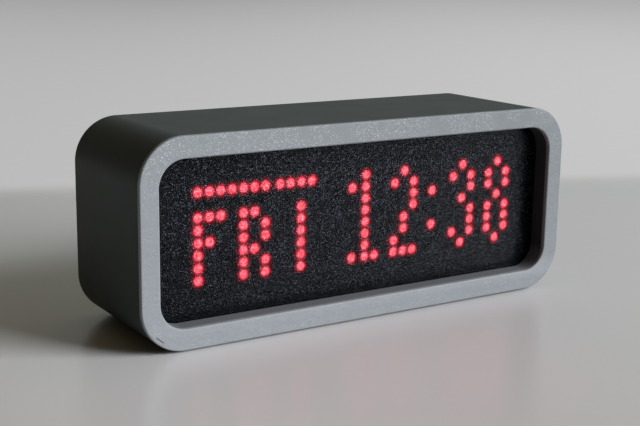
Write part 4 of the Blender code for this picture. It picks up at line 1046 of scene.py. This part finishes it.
class CLOCK_OT_recess(bpy.types.Operator):
    """Makes the walls between the ring and the window"""

    bl_idname = "clock.recess"
    bl_label = "Display Recess"

    def execute(self, context):
        settings = context.scene.clock_case
        _, inner, opening, window = case_sizes(settings)
        front, back = RECESS_LOW.y, RECESS_HIGH.y
        ledge = WINDOW_LOW.y - FIT
        step = RING_HIGH.y + FIT
        wall = -settings.frame_wall
        sections = [(opening, 0, front), (opening, 0, ledge), (window, -FIT, ledge)]
        sections += [(window, -FIT, back), (inner, FIT, back), (inner, FIT, step)]
        sections += [(opening, wall, step), (opening, wall, front)]
        recess = skinned("recess", sections, ring=True)
        polish(recess, recess_plastic(settings), "dark_frame", "window_frame")
        return {"FINISHED"}


class CLOCK_OT_window(bpy.types.Operator):
    """Gives the smoked window its grain"""

    bl_idname = "clock.window"
    bl_label = "Smoked Window"

    def execute(self, context):
        dress("display_window", smoked_sheet(context.scene.clock_display))
        return {"FINISHED"}


def dot_place(settings, column, row, y):
    """Where a dot is, at a given depth."""
    last = DOTS_PER_SIDE * len(MODULES) - 1
    span = last * settings.pitch + (len(MODULES) - 1) * settings.module_gap
    gaps = column // DOTS_PER_SIDE
    x = column * settings.pitch + gaps * settings.module_gap - span / 2
    return x, y, DISPLAY_MIDDLE + ((DOTS_PER_SIDE - 1) / 2 - row) * settings.pitch


def lit_dots(settings):
    """The column and row of every lit dot: a bar, the weekday and the time."""
    lit = [(column, 0) for column in range(1, settings.bar + 1)]
    time = f"{settings.hour:02d}:{settings.minute:02d}"
    weekday = settings.weekday.upper()
    signs = [(sign, column, 0) for sign, column in zip(time, TIME_COLUMNS)]
    signs += [(sign, column, WEEKDAY_ROW) for sign, column in zip(weekday, WEEKDAY_COLUMNS)]
    for sign, first_column, first_row in signs:
        for row, line in enumerate(SIGNS[sign].split()):
            for column, mark in enumerate(line):
                if mark == "#":
                    lit.append((first_column + column, first_row + row))
    return lit


class CLOCK_OT_modules(bpy.types.Operator):
    """Makes the four modules with a low lens over each dot"""

    bl_idname = "clock.modules"
    bl_label = "Dot Modules"

    def execute(self, context):
        settings = context.scene.clock_display
        rise = settings.lens_rise
        corners = [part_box(name) for name in MODULES]
        bodies = blocks("dot_modules", [(low + Vector((0, rise, 0)), high) for low, high in corners])
        black = coat("module_black", (0.010, 0.009, 0.009))
        polish(bodies, black, "module_black", *MODULES, bevel=MODULE_BEVEL)

        face = corners[0][0].y + rise
        columns, rows = range(DOTS_PER_SIDE * len(MODULES)), range(DOTS_PER_SIDE)
        places = [dot_place(settings, column, row, face) for column in columns for row in rows]
        glass = coat("lens_smoky", (0.014, 0.011, 0.011))
        sizes = {"Radius": settings.lens_radius, "Rise": rise * LENS_SHOWN, "Sides": LENS_SIDES}
        lenses = lens_rule().make("dot_lenses", places, sizes, glass)
        polish(lenses, glass, "module_black")
        return {"FINISHED"}


class CLOCK_OT_dots(bpy.types.Operator):
    """Lights the dots of the weekday and the time"""

    bl_idname = "clock.dots"
    bl_label = "Lit Dots"

    def execute(self, context):
        settings = context.scene.clock_display
        front = WINDOW_HIGH.y + DOT_GAP
        places = []
        for column, row in lit_dots(settings):
            depth = front + DOT_LAYER * (column % 2 + 2 * (row % 2))
            places.append(dot_place(settings, column, row, depth))
        sizes = {"Radius": settings.glow_radius, "Sides": DOT_SIDES}
        dots = disc_rule().make("dots_lit", places, sizes, dot_light(settings))
        seat(dots, "module_black")
        return {"FINISHED"}


def sound_places(settings):
    """The middle sound hole and the ring round it, as (x, z)."""
    middle = box_middle("buzzer")
    places = [(middle.x, middle.z)]
    for index in range(settings.sound_holes):
        angle = index * 2 * math.pi / settings.sound_holes
        x = middle.x + settings.sound_ring_radius * math.cos(angle)
        places.append((x, middle.z + settings.sound_ring_radius * math.sin(angle)))
    return places


class CLOCK_OT_cover(bpy.types.Operator):
    """Makes the rear cover with all its holes"""

    bl_idname = "clock.cover"
    bl_label = "Rear Cover"

    def execute(self, context):
        settings = context.scene.clock_rear
        _, inner, _, _ = case_sizes(context.scene.clock_case)
        edge = rounding(COVER_ROUND, COVER_ROUND_STEPS)
        sections = [(inner, FIT, COVER_FRONT)]
        sections += [(inner, FIT + inset, COVER_BACK - drop) for inset, drop in edge]
        cover = skinned("cover", sections)

        buttons = [box_middle(f"{name}_button") for name in BUTTONS]
        holes = [(spot.x, spot.z, settings.button_radius + FIT) for spot in buttons]
        holes += [(x, z, settings.sound_hole_radius) for x, z in sound_places(settings)]
        screws = [box_middle(name) for name in COVER_SCREWS]
        sinks = [(spot.x, spot.z, settings.screw_radius + FIT) for spot in screws]
        depth = COVER_THICKNESS + 2 * OVERRUN
        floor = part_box(COVER_SCREWS[0])[1].y - SCREW_HEIGHT - FIT
        sizes = {"Depth": depth, "Sides": FINE_SIDES}
        rule = hole_rule()
        for y, spots in (((COVER_FRONT + COVER_BACK) / 2, holes), (floor + depth / 2, sinks)):
            places = [(x, y, z) for x, z, _ in spots]
            radii = [spot[2] for spot in spots]
            combine(cover, rule.make("cover_cutters", places, sizes, radii=radii))

        low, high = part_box("power_socket")
        tall = high.z - low.z
        socket = (high.x - low.x + 2 * FIT, tall + 2 * FIT, tall / 2)
        width, height, radius = SLIDER_PAD
        travel = settings.slider_travel
        slot = (width + travel + 2 * FIT, height + 2 * FIT, radius)
        openings = [(socket, box_middle("power_socket"), 0, SOCKET_STEPS)]
        openings.append((slot, box_middle("alarm_slider"), travel / 2, SLIDER_STEPS))
        slots = bmesh.new()
        for size, spot, shift, steps in openings:
            ends = [(size, 0, y) for y in (COVER_FRONT - OVERRUN, COVER_BACK + OVERRUN)]
            skin(slots, ends, middle=(spot.x + shift, spot.z), steps=steps)
        combine(cover, made_object("cover_slots", slots))

        finish = coat("cover_graphite", settings.cover_colour)
        polish(cover, finish, "graphite_cover", "rear_cover", bevel=settings.edge_bevel)
        return {"FINISHED"}


class CLOCK_OT_buttons(bpy.types.Operator):
    """Makes the four push buttons"""

    bl_idname = "clock.buttons"
    bl_label = "Push Buttons"

    def execute(self, context):
        settings = context.scene.clock_rear
        finish = coat("button_satin", settings.button_colour)
        radius = settings.button_radius
        dish = radius - settings.button_round - DISH_MARGIN
        flange_back = COVER_FRONT - FIT
        flange_front = flange_back - FLANGE
        for name in BUTTONS:
            node = f"{name}_button"
            low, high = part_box(node)
            spot = box_middle(node)
            flange = (high.x - low.x) / 2
            profile = [(0, low.y), (STEM_RADIUS, low.y), (STEM_RADIUS, flange_front)]
            profile += [(flange, flange_front), (flange, flange_back), (radius, flange_back)]
            for inset, drop in rounding(settings.button_round):
                profile.append((radius - inset, high.y - drop))
            for step in range(1, DISH_STEPS + 1):
                part = 1 - step / DISH_STEPS
                profile.append((dish * part, high.y - settings.button_dish * (1 - part * part)))
            bm = bmesh.new()
            lathe(bm, profile, (spot.x, 0, spot.z), Vector((0, 1, 0)))
            polish(made_object(f"cap_{name}", bm), finish, "button_grey", node, body=node)
        return {"FINISHED"}


class CLOCK_OT_slider(bpy.types.Operator):
    """Makes the ribbed alarm slider"""

    bl_idname = "clock.slider"
    bl_label = "Alarm Slider"

    def execute(self, context):
        settings = context.scene.clock_rear
        node = "alarm_slider"
        low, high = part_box(node)
        spot = box_middle(node)
        back = COVER_FRONT - FIT
        shield = (high.x - low.x, high.z - low.z, SLIDER_PAD[2])
        sections = [(shield, 0, back - SHIELD_THICKNESS), (shield, 0, back)]
        sections += [(SLIDER_PAD, 0, back), (SLIDER_PAD, 0, high.y)]
        slider = skinned("slider", sections, middle=(spot.x, spot.z), steps=SLIDER_STEPS)

        tongue = block_round(spot.x, spot.z, TONGUE_HALF, low.y, back - ROOT)
        combine(slider, blocks("slider_tongue", [tongue]), "UNION")
        lines = [spot.x + index * GROOVE_APART for index in (-1, 0, 1)]
        floor, top = high.y - GROOVE_DEPTH, high.y + OVERRUN
        grooves = [block_round(x, spot.z, GROOVE_HALF, floor, top) for x in lines]
        combine(slider, blocks("slider_grooves", grooves))
        finish = coat("slider_satin", settings.button_colour)
        polish(slider, finish, "button_grey", node, body=node, bevel=SLIDER_BEVEL)
        return {"FINISHED"}


class CLOCK_OT_socket(bpy.types.Operator):
    """Makes the power socket's shell and blade with its contacts"""

    bl_idname = "clock.socket"
    bl_label = "Power Socket"

    def execute(self, context):
        low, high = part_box("power_socket")
        spot = box_middle("power_socket")
        height = high.z - low.z
        outer = (high.x - low.x, height, height / 2 - SHELL_FLAT)
        floor = high.y - SHELL_DEPTH
        rim = high.y - SHELL_RIM
        sections = [(outer, 0, low.y), (outer, 0, rim), (outer, SHELL_RIM, high.y)]
        sections += [(outer, SHELL_WALL - SHELL_LIP, high.y), (outer, SHELL_WALL, rim)]
        sections.append((outer, SHELL_WALL, floor))
        shell = skinned("socket_shell", sections, middle=(spot.x, spot.z), steps=SOCKET_STEPS)
        polish(shell, metal("socket_steel"), "bright_steel", "power_socket")

        corners = block_round(spot.x, spot.z, BLADE_HALF, floor - ROOT, floor + BLADE_REACH)
        blade = blocks("socket_tongue", [corners])
        black = coat("tongue_black", (0.02, 0.02, 0.02))
        polish(blade, black, "black_plastic", bevel=BLADE_BEVEL)

        places = []
        for side in (-1, 1):
            for index in range(CONTACTS):
                x = spot.x + (index - (CONTACTS - 1) / 2) * CONTACT_APART
                places.append((x, floor + CONTACT_MIDDLE, spot.z + side * BLADE_HALF[1]))
        gold = metal("contact_gold")
        contacts = bar_rule().make("socket_contacts", places, CONTACT_SIZE, gold)
        polish(contacts, gold, "bright_steel")
        return {"FINISHED"}


class CLOCK_OT_screws(bpy.types.Operator):
    """Makes the heads of the four cover screws"""

    bl_idname = "clock.screws"
    bl_label = "Cover Screws"

    def execute(self, context):
        settings = context.scene.clock_rear
        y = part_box(COVER_SCREWS[0])[1].y - SCREW_HEIGHT / 2
        places = [(spot.x, y, spot.z) for spot in (box_middle(name) for name in COVER_SCREWS)]
        finish = metal("screw_dark")
        sizes = {"Radius": settings.screw_radius, "Height": SCREW_HEIGHT, "Sides": FINE_SIDES}
        sizes.update(Drive=settings.drive_radius, Depth=settings.drive_depth, Seed=SCREW_SEED)
        screws = screw_rule().make("cover_screws", places, sizes, finish)
        polish(screws, finish, "screw_steel", *COVER_SCREWS, bevel=settings.screw_bevel)
        return {"FINISHED"}


class CLOCK_OT_feet(bpy.types.Operator):
    """Makes the four pads under the case"""

    bl_idname = "clock.feet"
    bl_label = "Feet"

    def execute(self, context):
        low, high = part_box(FEET[0])
        places = [(spot.x, spot.y, 0) for spot in (box_middle(name) for name in FEET)]
        finish = coat("foot_rubber", (0.012, 0.012, 0.012))
        sizes = {"Radius": (high.x - low.x) / 2, "Height": high.z, "Sides": FINE_SIDES}
        feet = pad_rule().make("foot_pads", places, sizes, finish)
        polish(feet, finish, "foot_rubber", *FEET, bevel=FOOT_BEVEL)
        return {"FINISHED"}


def add_mark(bm, text, x, z, height):
    """Adds a printed mark on the rear cover, centred on x and z and read from behind."""
    curve = bpy.data.curves.new("mark", "FONT")
    curve.body = text
    curve.size = height
    curve.extrude = PRINT
    curve.align_x = "CENTER"
    curve.align_y = "CENTER"
    obj = linked("mark", curve)
    mesh = evaluated(obj)
    bpy.data.objects.remove(obj)
    turn = Matrix.Rotation(math.pi, 4, "Z") @ Matrix.Rotation(QUARTER, 4, "X")
    mesh.transform(Matrix.Translation((x, COVER_BACK, z)) @ turn)
    bm.from_mesh(mesh)
    bpy.data.meshes.remove(mesh)


class CLOCK_OT_marks(bpy.types.Operator):
    """Prints the plain marks beside the controls"""

    bl_idname = "clock.marks"
    bl_label = "Printed Marks"

    def execute(self, context):
        settings = context.scene.clock_rear
        height = settings.mark_height
        down, up = box_middle("down_button"), box_middle("up_button")
        slider = box_middle("alarm_slider")
        row = down.z + MARKS_ABOVE
        low_row = row - WORDS_LOWER
        on = slider.x + settings.slider_travel + ON_STEP
        bm = bmesh.new()
        add_mark(bm, "-", down.x, row, height * MINUS_SCALE)
        add_mark(bm, "+", up.x, row, height * PLUS_SCALE)
        add_mark(bm, "OFF", slider.x - OFF_STEP, low_row, height * WORD_SCALE)
        add_mark(bm, "ON", on, low_row, height * WORD_SCALE)
        bmesh.ops.remove_doubles(bm, verts=bm.verts, dist=WELD)
        polish(made_object("marks", bm), coat("mark_print", settings.mark_colour), "button_grey")
        return {"FINISHED"}


class CLOCK_OT_inside(bpy.types.Operator):
    """Gives every piece inside the case its finish"""

    bl_idname = "clock.inside"
    bl_label = "Inner Pieces"

    def execute(self, context):
        numbers = range(1, len(MODULES) + 1)
        black = ["cell_holder", "buzzer", "led_connector", "board_connector"]
        black += [f"switch_{name}" for name in BUTTONS] + [f"plunger_{name}" for name in BUTTONS]
        screws = [f"led_board_screw_{number}" for number in numbers]
        screws += [f"main_board_screw_{number}" for number in numbers]
        groups = (
            (circuit_board(), ["led_board", "main_board"]),
            (coat("plastic_black", (0.020, 0.020, 0.021)), black),
            (coat("carrier_black", (0.014, 0.014, 0.015)), ["display_carrier"]),
            (metal("steel_bright"), ["coin_cell", "slide_switch"]),
            (metal("steel_screw"), screws),
            (chip_plastic("driver_chip_1"), [f"driver_chip_{number}" for number in numbers]),
            (chip_plastic("clock_chip"), ["clock_chip"]),
            (controller_finish(), ["controller_module"]),
            (ribbon_finish(), ["ribbon_cable"]),
        )
        for finish, nodes in groups:
            for node in nodes:
                dress(node, finish)
        return {"FINISHED"}


def camera_axes(settings):
    """Right, up and back of the camera."""
    azimuth, elevation, lean = -settings.azimuth, settings.elevation, settings.roll
    level = math.cos(elevation)
    back = Vector((math.sin(azimuth) * level, -math.cos(azimuth) * level, math.sin(elevation)))
    right = Vector((0, 0, 1)).cross(back).normalized()
    tilted = math.cos(lean) * right + math.sin(lean) * back.cross(right)
    return tilted, back.cross(tilted), back


def level_axes(settings):
    """Right of the camera and towards it, both level."""
    right, _, back = camera_axes(settings)
    return Vector((right.x, right.y, 0)).normalized(), Vector((back.x, back.y, 0)).normalized()


class CLOCK_OT_stage(bpy.types.Operator):
    """Sets up the camera, the lamps and the pale table"""

    bl_idname = "clock.stage"
    bl_label = "Stage"

    def execute(self, context):
        settings = context.scene.clock_stage
        self.camera(context.scene, settings)
        self.key(settings)
        self.room(context.scene, settings)
        self.table(settings)
        context.scene.view_settings.view_transform = "Standard"
        return {"FINISHED"}

    def camera(self, scene, settings):
        """The camera, at the photograph's angle."""
        right, up, back = camera_axes(settings)
        aim = Vector((0, WINDOW_HIGH.y + FIT, DISPLAY_MIDDLE))
        place = aim + settings.shift_right * right + settings.shift_up * up
        place += settings.distance * back
        data = bpy.data.cameras.new("view")
        data.lens = settings.focal
        data.sensor_width = SENSOR
        data.clip_start, data.clip_end = CLIP
        rows = [(right[i], up[i], back[i], place[i]) for i in range(3)]
        scene.camera = linked("view", data)
        scene.camera.matrix_world = Matrix((*rows, (0, 0, 0, 1)))

    def key(self, settings):
        """A soft rectangular lamp to the right of the clock, which faces it."""
        level, near = level_axes(settings)
        rise, turn = settings.key_elevation, settings.key_turn
        towards = (level * math.cos(turn) + near * math.sin(turn)) * math.cos(rise)
        towards.z = math.sin(rise)
        data = bpy.data.lights.new("key", "AREA")
        data.energy = settings.key_power
        data.color = settings.key_colour
        data.shape = "RECTANGLE"
        data.size, data.size_y = KEY_SIZE
        lamp = linked("key", data)
        lamp.location = Vector((0, 0, CASE_MIDDLE)) + towards * KEY_DISTANCE
        lamp.rotation_euler = towards.to_track_quat("Z", "Y").to_euler()

    def room(self, scene, settings):
        """Light from all round, brighter behind the clock and overhead."""
        level, near = level_axes(settings)
        world = bpy.data.worlds.new("room")
        world.use_nodes = True
        scene.world = world
        room = Nodes(world.node_tree)
        place = room.node("ShaderNodeTexCoord", output="Generated")
        facing = room.along(place, (level * 0.6 - near).normalized())
        height = room.node("ShaderNodeSeparateXYZ", None, {"Vector": place}, "Z")
        tone = facing.step(-0.2, 0.95) * (1 - height.step(0.15, 0.6))
        overhead = height.step(0.4, 0.9) * facing.step(-0.6, 0.5)
        seen = room.seen()
        strength = tone * settings.room_high + overhead * settings.room_top + settings.room_low
        strength = seen * ROOM_SEEN + (1 - seen) * strength
        background = world.node_tree.nodes["Background"]
        hue = room.mix(tone.step(0, 0.8), (1.0, 0.79, 0.44), (0.90, 1.0, 1.0))
        room.feed(background.inputs["Color"], hue)
        room.feed(background.inputs["Strength"], strength)

    def table(self, settings):
        """A wide pale surface that turns into the backdrop behind the clock."""
        side, near = level_axes(settings)
        bm = bmesh.new()
        bmesh.ops.create_grid(bm, x_segments=1, y_segments=1, size=TABLE_SIZE)
        table = made_object("table", bm)
        finish = Finish("table_pale")
        depth, across = finish.along(finish.place, -near), finish.along(finish.place, side)
        wall = (depth - across * BACKDROP_SLANT).step(*BACKDROP_FOOT)
        pale = settings.table_colour
        base = finish.mix(finish.noise(0.12, 2), lighter(pale, 0.97), lighter(pale, 1.03))
        # Painted light: a pale pool in front of the clock and a red glow from the lit dots, painted
        # into the table's colour.
        base = finish.mix(finish.pool(*PALE_POOL), base, lighter(pale, 1.10))
        base = finish.mix(finish.pool(*RED_POOL) * 0.5, base, (0.80, 0.735, 0.735))
        matt = (wall + (depth * -1).step(0.13, 0.35)).step(0, 1)
        finish.set("Base Color", base)
        finish.set("Roughness", matt * 0.6 + 0.26)
        # Painted light: the backdrop glows brighter to the right and darker far behind the clock.
        tone = across.step(-0.4, 0.4) * 0.18 + 0.90
        tone = tone * (1 - depth.step(0.3, 3.0) * 0.27)
        sockets = {"Color": (*settings.wall_colour, 1), "Strength": BACKDROP_TOP}
        glow = finish.node("ShaderNodeEmission", None, sockets)
        glow = finish.node("ShaderNodeMixShader", None, {0: tone / BACKDROP_TOP, 2: glow})
        sockets = {0: wall * finish.seen(), 1: Wire(finish, finish.shader.outputs[0]), 2: glow}
        blend = finish.node("ShaderNodeMixShader", None, sockets)
        output = finish.tree.nodes["Material Output"]
        finish.tree.links.new(blend.socket, output.inputs["Surface"])
        table.data.materials.append(finish.material)


SETTINGS = {
    "clock_case": ClockCaseSettings,
    "clock_display": ClockDisplaySettings,
    "clock_rear": ClockRearSettings,
    "clock_stage": ClockStageSettings,
}
OPERATORS = (
    CLOCK_OT_stage,
    CLOCK_OT_ring,
    CLOCK_OT_sleeve,
    CLOCK_OT_recess,
    CLOCK_OT_window,
    CLOCK_OT_modules,
    CLOCK_OT_dots,
    CLOCK_OT_cover,
    CLOCK_OT_buttons,
    CLOCK_OT_slider,
    CLOCK_OT_socket,
    CLOCK_OT_screws,
    CLOCK_OT_feet,
    CLOCK_OT_marks,
    CLOCK_OT_inside,
)


class CLOCK_PT_pieces(bpy.types.Panel):
    """The clock's pieces and what may be changed about them"""

    bl_label = "Desk Clock"
    bl_idname = "CLOCK_PT_pieces"
    bl_space_type = "VIEW_3D"
    bl_region_type = "UI"
    bl_category = "Clock"

    def draw(self, context):
        for operator in OPERATORS:
            self.layout.operator(operator.bl_idname)
        for name, group in SETTINGS.items():
            box = self.layout.box()
            for key in group.__annotations__:
                box.prop(getattr(context.scene, name), key)


def register():
    for name, group in SETTINGS.items():
        bpy.utils.register_class(group)
        setattr(bpy.types.Scene, name, PointerProperty(type=group))
    for operator in OPERATORS:
        bpy.utils.register_class(operator)
    bpy.utils.register_class(CLOCK_PT_pieces)


def unregister():
    bpy.utils.unregister_class(CLOCK_PT_pieces)
    for operator in reversed(OPERATORS):
        bpy.utils.unregister_class(operator)
    for name, group in SETTINGS.items():
        delattr(bpy.types.Scene, name)
        bpy.utils.unregister_class(group)


def main():
    register()
    for operator in OPERATORS:
        getattr(bpy.ops.clock, operator.bl_idname.split(".")[1])()


if __name__ == "__main__":
    main()
